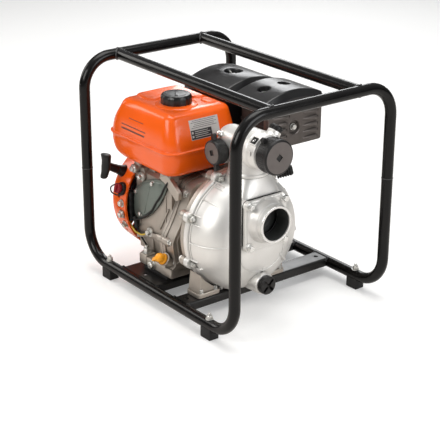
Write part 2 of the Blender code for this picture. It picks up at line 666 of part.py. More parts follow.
def bracket_foot(y):
    """Tapered foot, cleared around the casing flange and its lugs."""
    y0, y1 = y - 24, y + 24
    foot = slab([(y0, PLATE_TOP + GAP), (y0 + 6, 84), (y1 - 4, 84), (y1, PLATE_TOP + GAP)],
                'X', 44, 78)
    clear_r = FLANGE_R + 0.5
    flange = turned([(FLANGE_X, clear_r), (64, clear_r), (90, clear_r), (90, 0), (FLANGE_X, 0)], 24)
    return cut(foot, flange, *lugs(FLANGE_X, 90, LUG_R + 1))


bracket = turned([(8 + GAP, 14), (8 + GAP, 72), (16, 74), (34, 84), (40, 100), (40, FLANGE_R - 1),
                  (FLANGE_X, FLANGE_R - 1), (FLANGE_X, 14)], 24, closed=True)
bracket = union(bracket, *lugs(40, FLANGE_X, LUG_R))
bracket = union(bracket, *[bracket_foot(AXIS_Y + s * 81.0) for s in (-1, 1)])
fit("pump_bracket", cut(bracket, below_feet()), "cast")

# Casing: flange, domed body, flat seats on the +X face, neck on top, drain boss.
casing = turned([(FLANGE_X + GAP, 0), (FLANGE_X + GAP, FLANGE_R), (62, FLANGE_R),
                 (63, FLANGE_R - 1), (63, 117.5), (90, 116.5), (105, 110.5), (119, 100),
                 (131, 85), (FACE_X, 62), (FACE_X, 0)], 24)
low_seat = [(AXIS_Y - 53, 164)]                                         # (y, z)
low_seat += [(AXIS_Y - 53 * math.cos(math.radians(t)), 132 - 40 * math.sin(math.radians(t)))
             for t in range(0, 181, 30)]
low_seat += [(AXIS_Y + 53, 164)]
casing = union(casing, *lugs(FLANGE_X + GAP, 64, LUG_R))
casing = union(casing, suction_square(50, 100, FACE_X, 2), slab(low_seat, 'X', 100, FACE_X),
               rod_z(NECK_X, AXIS_Y, 200, NECK_TOP, NECK_R, 16),
               rod_x(100, 150, AXIS_Y, DRAIN_Z, 21, 16))
cavity = turned([(40, 0), (40, 108), (80, 110), (96, 108), (112, 98), (124, 86), (132, 70),
                 (135, 56), (135, 0)], 20)
casing = cut(casing, cavity, rod_z(NECK_X, AXIS_Y, 190, 290, NECK_BORE, 16),
             port_hole(100, 160, 40), rod_x(90, 160, AXIS_Y, DRAIN_Z, 14.5, 14), below_feet())
fit("pump_casing", casing, "alu")

# The volute is a cup, open on top through a window.
volute = turned([(52, 86), (98, 86), (98, 31), (94, 31), (94, 81), (52, 81)], 20, closed=True)
volute = cut(volute, box(64, 90, AXIS_Y - 30, AXIS_Y + 30, AXIS_Z + 60, AXIS_Z + 120))
fit("inner_volute", volute, "cast")


def vane_outline(start):
    """Spiral vane from radius 20 to 69 over 62 degrees: (y, z)."""
    sides = []
    for offset in (-1.6, 1.6):
        row = []
        for i in range(4):
            f = i / 3.0
            radius = 20 + 49 * f
            t = math.radians(start + 62 * f)
            row.append((AXIS_Y + radius * math.cos(t) + offset * math.cos(t + 1.9),
                        AXIS_Z + radius * math.sin(t) + offset * math.sin(t + 1.9)))
        sides.append(row)
    return sides[0] + sides[1][::-1]


hub_bore = 12 + GAP
impeller = turned([(61, hub_bore), (61, 70), (65, 70), (67, 24), (84, 18), (84, hub_bore)],
                  16, closed=True)
vanes = [slab(vane_outline(72.0 * k), 'X', 63, 90) for k in range(5)]
fit("impeller", union(impeller, *vanes), "cast", (70, AXIS_Y, AXIS_Z))
seal = turned([(FLANGE_X + GAP, 13), (FLANGE_X + GAP, 25), (55, 25), (59.5, 19), (59.5, 13)],
              16, closed=True)
fit("mechanical_seal", seal, "black")

# Suction side: gasket, square cover with the port and four bolt holes, flap.
gasket = cut(suction_square(49.5, FACE_X + GAP, FACE_X + 2, 3), port_hole(120, 160, 39))
fit("suction_gasket", gasket, "rubber")
port = lathe([(146, PORT_R + 5), (151, PORT_R + 5), (156, PORT_R), (PORT_LIP, PORT_R),
              (PORT_LIP, 0), (146, 0)], (0, AXIS_Y, PORT_Z), X_AXIS, 20)
cover = union(suction_square(50, FACE_X + 2 + GAP, 150, 3), port)
cover = cut(cover, port_hole(120, 200, PORT_BORE))
cover = cut(cover, *[rod_x(130, 160, AXIS_Y + dy, SQUARE_Z + dz, 4.3, 6)
                     for dy in (-41.5, 41.5) for dz in (-41.5, 41.5)])
fit("suction_cover", cover, "alu")
flap = union(port_hole(133, 137.5, 34.5),
             box(133.4, 137.2, AXIS_Y - 13, AXIS_Y + 13, PORT_Z + 30, PORT_Z + 37.5, 1.0))
fit("flap_valve", flap, "rubber", (135.5, AXIS_Y, PORT_Z + 36))

# ---- discharge manifold: one large outlet towards +X, two small ones along Y
MAIN_OUTLET = Vector((0, AXIS_Y, 332.0))
SIDE_OUTLET = Vector((50.0, AXIS_Y, 315.0))
FILLER = MAIN_OUTLET + X_AXIS * 140.0
FILLER_DIR = Vector((0, 0.588, 0.809)).normalized()

manifold = lathe([(20, 0), (21, 12), (26, 20), (34, 25), (46, 28), (74, 28.5), (94, 36),
                  (128, 37), (131, 34.5), (152, 34.5), (153.5, 30), (174, 30), (174, 0)],
                 MAIN_OUTLET, X_AXIS, 20)
neck = lathe([(0, NECK_R + 2), (6, NECK_R + 2), (8, NECK_R), (47, NECK_R - 2), (47, 0)],
             (NECK_X, AXIS_Y, NECK_TOP + GAP), Z_AXIS, 16)
# Collars first, then the longer, thinner threads.
side_rods = [rod_along(SIDE_OUTLET, Y_AXIS * s, 0, length, radius, 16)
             for length, radius in ((28, 23), (42, 19.5)) for s in (-1, 1)]
manifold = union(manifold, neck, *side_rods, rod_along(FILLER, FILLER_DIR, 20, 44, 13, 12))
passage = lathe([(25, 0), (31, 15), (42, 21), (74, 22), (94, 28), (180, 26.5), (180, 0)],
                MAIN_OUTLET, X_AXIS, 16)
manifold = cut(manifold, passage, rod_z(NECK_X, AXIS_Y, 260, MAIN_OUTLET.z, NECK_BORE, 16),
               rod_along(SIDE_OUTLET, Y_AXIS, -70, 70, 16, 14),
               rod_along(FILLER, FILLER_DIR, 10, 66, 8.5, 12))
fit("discharge_manifold", manifold, "alu")


def screw_cap(name, start, axis, radius, depth, bore_r, roof, gasket_r, ear_turn, ear_len, ear_at):
    """Cup-shaped cap with two ears and a square key recess; a flat gasket sits inside."""
    along, u, w = basis(axis)
    cap = lathe([(0, radius - 1), (1.5, radius), (depth - 2, radius), (depth, radius - 2),
                 (depth, 0), (depth - roof, 0), (depth - roof, bore_r), (0, bore_r)],
                start, along, 20, closed=True)
    t = math.radians(ear_turn)
    ear_dir = u * math.cos(t) + w * math.sin(t)
    rotation = Matrix((ear_dir, along.cross(ear_dir), along)).transposed().to_4x4()
    for s in (-1, 1):
        ear = box(*sorted((s * (radius - 2), s * (radius + ear_len))), -4, 4, ear_at, ear_at + 8)
        cap = union(cap, place(ear, start, rotation))
    key = box(-5.5, 5.5, -5.5, 5.5, depth - roof * 0.55, depth + 5)
    cap = cut(cap, place(key, start, rotation @ turn(12, 'Z')))
    fit(name, cap, "black", start)
    top, bottom = depth - roof - GAP, depth - roof - 2.4
    ring = lathe([(top, bore_r - 0.6), (top, gasket_r), (bottom, gasket_r),
                  (bottom, bore_r - 0.6)], start, along, 16, closed=True)
    fit("gasket_" + name, ring, "rubber", start)


screw_cap("outlet_cap_main", MAIN_OUTLET + X_AXIS * 156, X_AXIS, radius=34.0, depth=30.0,
          bore_r=31.0, roof=9.0, gasket_r=22.0, ear_turn=122.0, ear_len=9.0, ear_at=4.0)
for s, side in ((-1, "front"), (1, "rear")):
    screw_cap("outlet_cap_" + side, SIDE_OUTLET + Y_AXIS * s * 29, Y_AXIS * s, radius=24.0,
              depth=24.0, bore_r=20.6, roof=8.0, gasket_r=13.0, ear_turn=98.0, ear_len=12.0,
              ear_at=11.0)

filler_plug = lathe([(32, 0), (32, 8), (44 + GAP, 8), (44 + GAP, 12.5), (53, 12), (55, 10),
                     (55, 0)], FILLER, FILLER_DIR, 14)
fit("filler_plug", filler_plug, "black", FILLER + FILLER_DIR * 44)

# Drain plug with two crossed slots in its +X face.
DRAIN_AXIS = (0, AXIS_Y, DRAIN_Z)
drain_plug = lathe([(122, 0), (122, 13.8), (150 + GAP, 13.8), (150 + GAP, 18), (160, 18),
                    (161, 17), (161, 0)], DRAIN_AXIS, X_AXIS, 16)
slots = [place(box(154, 170, -20, 20, -3.2, 3.2), DRAIN_AXIS, turn(angle, 'X'))
         for angle in (45, 135)]
fit("drain_plug", cut(drain_plug, *slots), "black", (150, AXIS_Y, DRAIN_Z))
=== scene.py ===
"""Engine-driven water pump in a tubular carrying frame.

X runs from the recoil starter (-X, left) to the pump (+X, right), -Y is the front, Z is up and
the feet stand on z = 0. Shapes are drawn in millimetres and turned into metres by new_mesh().
"""
import json
from math import atan2, cos, hypot, pi, radians, sin, sqrt

import bmesh
import bpy
from mathutils import Matrix, Vector


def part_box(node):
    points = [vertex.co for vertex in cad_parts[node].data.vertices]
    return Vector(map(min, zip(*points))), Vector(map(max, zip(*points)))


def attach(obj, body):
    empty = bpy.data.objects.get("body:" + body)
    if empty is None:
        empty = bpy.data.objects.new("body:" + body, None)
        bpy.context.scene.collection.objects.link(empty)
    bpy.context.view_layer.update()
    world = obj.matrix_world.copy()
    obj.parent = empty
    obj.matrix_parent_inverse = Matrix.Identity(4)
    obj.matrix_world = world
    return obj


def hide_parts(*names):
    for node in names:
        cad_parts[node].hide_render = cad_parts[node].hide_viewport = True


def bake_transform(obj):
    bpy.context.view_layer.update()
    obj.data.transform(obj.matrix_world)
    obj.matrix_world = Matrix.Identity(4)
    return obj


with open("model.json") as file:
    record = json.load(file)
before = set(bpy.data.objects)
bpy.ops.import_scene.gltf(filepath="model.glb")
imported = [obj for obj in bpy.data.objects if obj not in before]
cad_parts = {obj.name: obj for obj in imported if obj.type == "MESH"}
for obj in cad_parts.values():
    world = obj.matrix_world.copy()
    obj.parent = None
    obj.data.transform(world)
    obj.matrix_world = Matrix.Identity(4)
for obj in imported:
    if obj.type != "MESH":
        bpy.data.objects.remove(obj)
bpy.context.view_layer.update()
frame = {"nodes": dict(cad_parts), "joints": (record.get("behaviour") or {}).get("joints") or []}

MM = 0.001
MERGE = 0.0008
X_AXIS = Vector((1, 0, 0))
Y_AXIS = Vector((0, 1, 0))
Z_AXIS = Vector((0, 0, 1))
JOINTS = {joint["name"]: joint for joint in frame["joints"]}


def corners(node):
    """Low and high corner of a CAD node, in mm."""
    return [Vector([c / MM for c in corner]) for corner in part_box(node)[:2]]


def middle(node):
    low, high = corners(node)
    return (low + high) / 2


def joint_at(name):
    return Vector([c / MM for c in JOINTS[name]["pos_m"]])


def joint_axis(name):
    return Vector(JOINTS[name]["axis"]).normalized()


CRANK_Y, CRANK_Z = joint_at("crank_spin").yz
CRANK_LINE = Vector((0, CRANK_Y, CRANK_Z))


# ============================ materials ======================================
class Nodes:
    """Short forms for building the node tree of a material or a world."""

    def __init__(self, owner):
        owner.use_nodes = True
        self.tree = owner.node_tree

    def feed(self, node, **inputs):
        """Sets inputs by name (underscores for spaces), each a value or a socket to link."""
        for name, value in inputs.items():
            self.put(node.inputs[name.replace("_", " ")], value)

    def put(self, socket, value):
        if isinstance(value, bpy.types.NodeSocket):
            self.tree.links.new(value, socket)
        else:
            socket.default_value = value

    def add(self, kind, **inputs):
        node = self.tree.nodes.new(kind)
        self.feed(node, **inputs)
        return node

    def noise(self, vector, scale, detail, roughness=0.55):
        node = self.add("ShaderNodeTexNoise", Vector=vector, Scale=scale, Detail=detail,
                        Roughness=roughness)
        return node.outputs["Fac"]

    def remap(self, value, span, to=(0.0, 1.0)):
        node = self.add("ShaderNodeMapRange", Value=value, From_Min=span[0], From_Max=span[1],
                        To_Min=to[0], To_Max=to[1])
        node.clamp = True
        return node.outputs["Result"]

    def mix(self, factor, first, second):
        """Colour mix; a colour is an RGB tuple or a socket."""
        node = self.tree.nodes.new("ShaderNodeMix")
        node.data_type = 'RGBA'
        self.put(node.inputs[0], factor)
        for index, colour in ((6, first), (7, second)):
            self.put(node.inputs[index], (*colour, 1.0) if isinstance(colour, tuple) else colour)
        return node.outputs[2]

    def math(self, operation, first, second):
        node = self.tree.nodes.new("ShaderNodeMath")
        node.operation = operation
        self.put(node.inputs[0], first)
        self.put(node.inputs[1], second)
        return node.outputs[0]

    def colour_ramp(self, value, low, high, high_at=1.0):
        node = self.add("ShaderNodeValToRGB", Fac=value)
        low_stop, high_stop = node.color_ramp.elements
        low_stop.color = low
        high_stop.position = high_at
        high_stop.color = high
        return node.outputs["Color"]


MATERIALS = {}


def surface(key, name, rgb, rough, metal=0.0, spec=0.5, mottle=0.08, mottle_scale=22.0,
            gloss_var=0.10, bump=0.15, bump_scale=420.0, bump_depth=0.0004, grain=None,
            stretch=None, tint=None, coat=0.0, corner_shade=0.0, dust=0.0, scratch=0.0):
    """Mottled colour, uneven gloss, fine relief, painted shade darkening corners and gaps with
    duller gloss there, dust on top, scratches.
    """
    material = bpy.data.materials.new(name)
    nodes = Nodes(material)
    position = nodes.add("ShaderNodeTexCoord").outputs["Object"]
    fine_position = position
    if stretch:
        mapping = nodes.add("ShaderNodeMapping", Vector=position, Scale=stretch)
        fine_position = mapping.outputs["Vector"]

    broad = nodes.noise(position, scale=mottle_scale, detail=5)
    fine = nodes.noise(fine_position, scale=bump_scale, detail=4, roughness=0.6)
    colour = nodes.mix(nodes.remap(broad, span=(0.3, 0.7)),
                       tuple(c * (1 - mottle) for c in rgb),
                       tuple(min(1.0, c * (1 + mottle)) for c in rgb))
    if tint:
        patches = nodes.noise(position, scale=mottle_scale * 0.35, detail=3)
        colour = nodes.mix(nodes.remap(patches, span=(0.45, 0.75), to=(0.0, 0.5)), colour, tint)
    roughness = nodes.remap(broad, span=(0.3, 0.7),
                            to=(rough - gloss_var * 0.5, rough + gloss_var * 0.5))
    height = fine
    if grain:
        cells = nodes.add("ShaderNodeTexVoronoi", Vector=fine_position)
        cells.feature = 'SMOOTH_F1'
        nodes.feed(cells, Scale=grain)
        distance = cells.outputs["Distance"]
        height = nodes.math('ADD', distance, fine)
        # grain pits hold a little shade
        pits = nodes.remap(distance, span=(0.0, 0.35), to=(0.18, 0.0))
        colour = nodes.mix(pits, colour, tuple(c * 0.55 for c in rgb))
    if scratch > 0:
        mapping = nodes.add("ShaderNodeMapping", Vector=position, Rotation=(0.35, 0.8, 0.5),
                            Scale=(900.0, 40.0, 26.0))
        lines = nodes.noise(mapping.outputs["Vector"], scale=1.0, detail=2.0, roughness=0.5)
        lines = nodes.remap(lines, span=(0.68, 0.74), to=(0.0, scratch))
        colour = nodes.mix(lines, colour, tuple(min(1.0, c * 1.25 + 0.09) for c in rgb))
        roughness = nodes.math('ADD', roughness, lines)
    # painted shade: ambient occlusion darkens the colour towards near-black in corners and gaps,
    # and dulls the gloss there
    if corner_shade > 0:
        occlusion = nodes.add("ShaderNodeAmbientOcclusion", Distance=0.010)
        occlusion.samples = 4
        corner = occlusion.outputs["AO"]
        painted_corner_shade = nodes.remap(corner, span=(0.35, 0.95), to=(corner_shade, 0.0))
        colour = nodes.mix(painted_corner_shade, colour, (0.035, 0.030, 0.026))
        dulling = nodes.remap(corner, span=(0.35, 0.95), to=(corner_shade * 0.35, 0.0))
        roughness = nodes.math('ADD', roughness, dulling)
    if dust > 0:
        normal = nodes.add("ShaderNodeNewGeometry").outputs["Normal"]
        upward = nodes.add("ShaderNodeSeparateXYZ", Vector=normal).outputs["Z"]
        settled = nodes.remap(upward, span=(0.55, 1.0), to=(0.0, dust))
        patches = nodes.noise(position, scale=60.0, detail=6, roughness=0.7)
        patches = nodes.remap(patches, span=(0.35, 0.75))
        colour = nodes.mix(nodes.math('MULTIPLY', settled, patches), colour, (0.30, 0.28, 0.26))

    relief = nodes.add("ShaderNodeBump", Strength=bump, Distance=bump_depth, Height=height)
    shader = nodes.tree.nodes["Principled BSDF"]
    nodes.feed(shader, Base_Color=colour, Roughness=roughness, Metallic=metal,
               Specular_IOR_Level=spec, Coat_Weight=coat, Coat_Roughness=0.06,
               Normal=relief.outputs["Normal"])
    if coat > 0:
        waves = nodes.noise(position, scale=95.0, detail=2)
        wave = nodes.add("ShaderNodeBump", Strength=0.10, Distance=0.0006, Height=waves)
        nodes.feed(shader, Coat_Normal=wave.outputs["Normal"])
    material.diffuse_color = (*rgb, 1.0)
    MATERIALS[key] = material


surface("tube", "frame_gloss_black", (0.0045, 0.0042, 0.0042), rough=0.20,
        mottle=0.25, gloss_var=0.06, bump=0.10, bump_scale=160, bump_depth=0.0003, spec=0.27,
        dust=0.008, scratch=0.03)
surface("plate", "frame_satin_black", (0.007, 0.0066, 0.0066), rough=0.33,
        mottle=0.25, bump=0.14, bump_scale=260, bump_depth=0.0003, dust=0.035, scratch=0.05)
surface("alu", "die_cast_aluminium", (0.84, 0.83, 0.805), rough=0.44,
        metal=0.80, mottle=0.035, mottle_scale=14, gloss_var=0.08, bump=0.35, bump_scale=900,
        bump_depth=0.00018, grain=1300, corner_shade=0.30, scratch=0.04)
surface("alu_turned", "machined_aluminium", (0.86, 0.86, 0.85), rough=0.22,
        metal=1.0, mottle=0.04, bump=0.25, bump_scale=500, bump_depth=0.0001,
        stretch=(8.0, 1.0, 1.0), corner_shade=0.3)
surface("cast", "engine_casting", (0.50, 0.455, 0.405), rough=0.42, metal=0.85,
        mottle=0.10, mottle_scale=30, gloss_var=0.16, bump=0.55, bump_scale=620,
        bump_depth=0.0003, grain=900, corner_shade=0.55, dust=0.05, scratch=0.04,
        tint=(0.38, 0.33, 0.28))
surface("iron", "cast_iron_rough", (0.16, 0.15, 0.145), rough=0.55, metal=0.8,
        mottle=0.18, mottle_scale=40, bump=0.7, bump_scale=500, grain=700, corner_shade=0.5,
        tint=(0.20, 0.12, 0.08))
surface("orange", "gloss_orange_enamel", (0.90, 0.115, 0.004), rough=0.24,
        mottle=0.045, mottle_scale=14, gloss_var=0.05, bump=0.05, bump_scale=240,
        bump_depth=0.0003, coat=0.32, dust=0.01, scratch=0.015, corner_shade=0.28, spec=0.35)
surface("black", "moulded_black", (0.0060, 0.0058, 0.0058), rough=0.36,
        mottle=0.25, bump=0.35, bump_scale=900, bump_depth=0.00015, grain=1500, dust=0.03,
        scratch=0.04, spec=0.36)
surface("black_satin", "moulded_black_smooth", (0.007, 0.007, 0.0075),
        rough=0.30, mottle=0.2, bump=0.12, bump_scale=600, bump_depth=0.00012, dust=0.12,
        scratch=0.06)
surface("cover", "cover_grained_black", (0.011, 0.011, 0.012), rough=0.30,
        mottle=0.12, mottle_scale=30, gloss_var=0.06, bump=0.30, bump_scale=900,
        bump_depth=0.00012, grain=1700, dust=0.05, scratch=0.03)
# painted light: the cap face is the same black plastic, coloured lighter grey for the light it
# catches
surface("cap_front_painted_light", "cap_front_painted_light_grey", (0.130, 0.112, 0.104), rough=0.46,
        mottle=0.10, mottle_scale=60, bump=0.25, bump_scale=700, bump_depth=0.00012, grain=1300,
        scratch=0.08)
surface("steel_bright", "bright_zinc_bolt", (0.86, 0.86, 0.84), rough=0.26,
        metal=1.0, mottle=0.06, mottle_scale=80, gloss_var=0.12, bump=0.25, bump_scale=900,
        bump_depth=0.0001, corner_shade=0.35)
surface("cap", "cap_black", (0.0085, 0.008, 0.008), rough=0.36, mottle=0.2,
        bump=0.30, bump_scale=800, bump_depth=0.00015, grain=1400, dust=0.02, scratch=0.04,
        spec=0.42)
surface("rubber", "black_rubber", (0.008, 0.008, 0.008), rough=0.66, mottle=0.3,
        bump=0.6, bump_scale=500, bump_depth=0.0003, grain=800, dust=0.16)
surface("flap", "flap_rubber", (0.045, 0.048, 0.046), rough=0.62, mottle=0.2,
        bump=0.4, bump_scale=400, bump_depth=0.0002)
surface("steel", "zinc_plated_steel", (0.72, 0.72, 0.70), rough=0.30,
        metal=1.0, mottle=0.10, mottle_scale=80, gloss_var=0.14, bump=0.25, bump_scale=900,
        bump_depth=0.0001, corner_shade=0.5, tint=(0.62, 0.60, 0.50))
surface("chrome", "ground_steel", (0.66, 0.66, 0.66), rough=0.20, metal=1.0,
        mottle=0.06, bump=0.2, bump_scale=700, bump_depth=0.0001, stretch=(10.0, 1.0, 1.0))
surface("side", "grey_green_plate", (0.17, 0.20, 0.18), rough=0.38,
        metal=0.55, mottle=0.10, mottle_scale=30, bump_depth=0.0002, corner_shade=0.5, dust=0.05,
        scratch=0.05)
surface("shield", "heat_dark_shield", (0.115, 0.100, 0.092), rough=0.36,
        metal=0.55, mottle=0.14, mottle_scale=35, bump=0.25, bump_scale=500, bump_depth=0.0002,
        corner_shade=0.4, dust=0.04, scratch=0.05)
surface("muffler", "heat_black_muffler", (0.030, 0.028, 0.027), rough=0.55,
        metal=0.4, mottle=0.25, mottle_scale=26, bump=0.5, bump_scale=500, bump_depth=0.0003,
        corner_shade=0.4, tint=(0.07, 0.045, 0.03))
surface("yellow", "dipstick_yellow", (0.90, 0.36, 0.008), rough=0.32,
        mottle=0.06, bump_scale=500, bump_depth=0.0002, corner_shade=0.35)
surface("red", "switch_red", (0.26, 0.004, 0.012), rough=0.30, bump_scale=600,
        bump_depth=0.0002, corner_shade=0.3)
surface("foam", "filter_foam_cells", (0.10, 0.10, 0.11), rough=0.95,
        mottle=0.3, mottle_scale=200, bump=1.0, bump_scale=700, bump_depth=0.0012, grain=520)
surface("label_light", "label_grey", (0.52, 0.50, 0.48), rough=0.45, mottle=0.05,
        bump=0.05)
surface("label_dark", "label_black", (0.020, 0.020, 0.022), rough=0.45,
        mottle=0.2, bump=0.05)
surface("decal", "decal_dark_brown", (0.10, 0.030, 0.018), rough=0.40,
        mottle=0.15, bump=0.05)
surface("wire_yellow", "wire_yellow_sheath", (0.62, 0.42, 0.05), rough=0.50,
        mottle=0.12, bump=0.2)
surface("rope", "braided_rope", (0.55, 0.53, 0.48), rough=0.85, mottle=0.3,
        mottle_scale=300, bump=1.0, bump_scale=900, bump_depth=0.0006, grain=1200)
surface("weld", "painted_weld", (0.014, 0.014, 0.015), rough=0.30, mottle=0.25,
        bump=0.8, bump_scale=500, bump_depth=0.0005, coat=0.4, grain=600)


# ============================ objects ========================================
def new_object(name, data):
    ob = bpy.data.objects.new(name, data)
    bpy.context.scene.collection.objects.link(ob)
    return ob


def new_mesh(name, bm, material):
    """Smooth-shaded object from a bmesh drawn in mm."""
    bmesh.ops.recalc_face_normals(bm, faces=bm.faces)
    for vert in bm.verts:
        vert.co = vert.co * MM
    mesh = bpy.data.meshes.new(name)
    bm.to_mesh(mesh)
    bm.free()
    mesh.shade_smooth()
    mesh.materials.append(MATERIALS[material])
    return new_object(name, mesh)


def soften(ob, width, segments, harden):
    bevel = ob.modifiers.new("soft_edges", 'BEVEL')
    bevel.width = width * MM
    bevel.segments = segments
    bevel.limit_method = 'ANGLE'
    bevel.angle_limit = radians(38)
    bevel.harden_normals = harden


def place(name, bm, material, body="frame", replaces=None, angle=35.0, bevel=0.0,
          segments=2):
    """Finishes a bmesh: creases sharper than angle, edge rounding, carried by a body."""
    bmesh.ops.remove_doubles(bm, verts=bm.verts, dist=MERGE)
    ob = new_mesh(name, bm, material)
    ob.data.set_sharp_from_angle(angle=radians(angle))
    if bevel > 0:
        soften(ob, bevel, segments, harden=True)
    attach(ob, body)
    if replaces:
        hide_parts(replaces)


def keep_cad(node, material, bevel, segments=2):
    """A CAD node that keeps its shape, with a finished material and softened edges."""
    ob = frame["nodes"][node]
    ob.data.materials.clear()
    ob.data.materials.append(MATERIALS[material])
    for face in ob.data.polygons:
        face.material_index = 0
    weld = ob.modifiers.new("weld", 'WELD')
    weld.merge_threshold = 0.000005
    soften(ob, bevel, segments, harden=False)


# ============================ outlines =======================================
def arc(cx, cy, radius, start, end, steps):
    """Points on a circle, from start to end in degrees."""
    angles = [radians(start + (end - start) * k / steps) for k in range(steps + 1)]
    return [(cx + radius * cos(angle), cy + radius * sin(angle)) for angle in angles]


def rect(x0, x1, y0, y1):
    return [(x0, y0), (x0, y1), (x1, y1), (x1, y0)]


def rounded(x0, x1, y0, y1, radius, steps=8):
    """Rectangle with round corners."""
    out = []
    for cx, cy, start in ((x1 - radius, y1 - radius, 0), (x0 + radius, y1 - radius, 90),
                          (x0 + radius, y0 + radius, 180), (x1 - radius, y0 + radius, 270)):
        out += arc(cx, cy, radius, start, start + 90.0, steps)
    return out


def spline(points, steps=8, closed=False):
    """Catmull-Rom curve through points."""
    knots = [Vector(point) for point in points]
    count = len(knots)
    out = []
    for i in range(count if closed else count - 1):
        here, after = knots[i], knots[(i + 1) % count]
        before = knots[i - 1] if closed or i > 0 else knots[0] * 2 - knots[1]
        last = knots[(i + 2) % count] if closed or i + 2 < count else after * 2 - here
        for k in range(steps):
            f = k / steps
            out.append(0.5 * ((2 * here) + (after - before) * f
                              + (2 * before - 5 * here + 4 * after - last) * f * f
                              + (3 * here - before - 3 * after + last) * f ** 3))
    if not closed:
        out.append(knots[-1])
    return out


def smooth_loop(points, steps):
    """Closed curve through 2D points."""
    return [(p.x, p.y) for p in spline([Vector((a, b, 0)) for a, b in points], steps, True)]


def centroid(points):
    return sum(p[0] for p in points) / len(points), sum(p[1] for p in points) / len(points)


def shrink(points, distance):
    """Moves each point of an outline inwards along its normal."""
    centre = Vector(centroid(points))
    out = []
    for i, point in enumerate(points):
        tangent = (Vector(points[(i + 1) % len(points)]) - Vector(points[i - 1])).normalized()
        normal = Vector((-tangent.y, tangent.x))
        if normal.dot(centre - Vector(point)) < 0:
            normal = -normal
        moved = Vector(point) + normal * distance
        out.append((moved.x, moved.y))
    return out


def fillet(profile, edge, steps=3, closed=False):
    """Rounds the corners of a turned profile so that edges catch light."""
    out = []
    count = len(profile)
    for i, point in enumerate(profile):
        corner = Vector(point)
        before = Vector(profile[i - 1]) - corner
        after = Vector(profile[(i + 1) % count]) - corner
        is_end = not closed and i in (0, count - 1)
        if is_end or min(before.length, after.length) < 1e-6:
            out.append(tuple(corner))
            continue
        reach = min(edge, before.length * 0.45, after.length * 0.45)
        before = before / before.length
        after = after / after.length
        if before.dot(after) < -0.985:
            out.append(tuple(corner))
            continue
        start, end = corner + before * reach, corner + after * reach
        for k in range(steps + 1):
            f = k / steps
            out.append(tuple((start * (1 - f) * (1 - f)) + corner * (2 * f * (1 - f))
                             + end * (f * f)))
    return out


# ============================ solids =========================================
def skin(rings, closed=False):
    """Surface over rings of points; a ring of one point is a tip, open ends are capped."""
    bm = bmesh.new()
    loops = [[bm.verts.new(point) for point in ring_] for ring_ in rings]
    pairs = list(zip(loops[:-1], loops[1:]))
    if closed:
        pairs.append((loops[-1], loops[0]))
    for first, second in pairs:
        if len(first) == 1 and len(second) == 1:
            continue
        count = max(len(first), len(second))
        for i in range(count):
            j = (i + 1) % count
            if len(first) == 1:
                bm.faces.new((first[0], second[i], second[j]))
            elif len(second) == 1:
                bm.faces.new((first[i], second[0], first[j]))
            else:
                bm.faces.new((first[i], second[i], second[j], first[j]))
    if not closed:
        for loop in (loops[0], loops[-1]):
            if len(loop) > 1:
                bm.faces.new(loop)
    return bm


def basis(axis):
    """Unit axis and two directions across it."""
    axis = Vector(axis).normalized()
    helper = Z_AXIS if abs(axis.z) < 0.9 else X_AXIS
    side = helper.cross(axis).normalized()
    return axis, side, axis.cross(side)


def full_turn(count, start=0.0):
    return [start + 2 * pi * k / count for k in range(count)]


def ring(centre, side, up, radius, count, start=0.0):
    """Circle of points in the plane of side and up, or its centre when the radius is nil."""
    if radius <= 1e-6:
        return [centre]
    return [centre + (side * cos(a) + up * sin(a)) * radius for a in full_turn(count, start)]


def lathe(profile, segments, centre=CRANK_LINE, axis=X_AXIS, closed=False, phase=0.0):
    """Turned shape from (distance along the axis, radius) pairs, about the crank line if unset."""
    axis, side, up = basis(axis)
    centre = Vector(centre)
    rings = [ring(centre + axis * along, side, up, radius, segments, phase)
             for along, radius in profile]
    bm = skin(rings, closed)
    bmesh.ops.recalc_face_normals(bm, faces=bm.faces)
    return bm


def turned(profile, edge, steps, segments, centre=CRANK_LINE, axis=X_AXIS, closed=False):
    """Lathe with its profile corners rounded by edge in so many steps."""
    return lathe(fillet(profile, edge, steps, closed), segments, centre, axis, closed)


def rod(start, end, radius, segments=24):
    start, end = Vector(start), Vector(end)
    return lathe([(0, radius), ((end - start).length, radius)], segments, start, end - start)


def disc(start, end, radius, segments=32, edge=0.8):
    """A short turned boss with rounded rims."""
    start, end = Vector(start), Vector(end)
    height = (end - start).length
    return turned([(0, 0), (0, radius), (height, radius), (height, 0)], edge, 3, segments,
                  start, end - start)


def box(x0, x1, y0, y1, z0, z1, bevel=0.0, segments=2):
    bm = bmesh.new()
    bmesh.ops.create_cube(bm, size=1.0)
    for vert in bm.verts:
        vert.co = Vector(((x0 + x1) / 2 + vert.co.x * (x1 - x0),
                          (y0 + y1) / 2 + vert.co.y * (y1 - y0),
                          (z0 + z1) / 2 + vert.co.z * (z1 - z0)))
    if bevel > 0:
        bmesh.ops.bevel(bm, geom=list(bm.edges), offset=bevel, segments=segments, profile=0.5,
                        affect='EDGES', clamp_overlap=True)
    return bm


def oriented_box(centre, axes, size, bevel=0.0, segments=2):
    """Box round a centre with its own three axes."""
    a, b, c = size
    bm = box(-a / 2, a / 2, -b / 2, b / 2, -c / 2, c / 2, bevel, segments)
    turn = Matrix([Vector(axis).normalized() for axis in axes]).transposed().to_4x4()
    bmesh.ops.transform(bm, matrix=Matrix.Translation(Vector(centre)) @ turn, verts=bm.verts)
    return bm


def radial(angle):
    """Direction across X, at an angle in degrees from +Y towards +Z."""
    return Vector((0, cos(radians(angle)), sin(radians(angle))))


def at_crank(angle, radius, x=0.0):
    """Point at an angle and radius round the crank line."""
    turn = radians(angle)
    return Vector((x, CRANK_Y + radius * cos(turn), CRANK_Z + radius * sin(turn)))


def radial_box(centre, angle, size, bevel, segments=2):
    """Box with sizes along X, outwards at an angle, and round the X axis."""
    out = radial(angle)
    return oriented_box(centre, (X_AXIS, out, X_AXIS.cross(out)), size, bevel, segments)


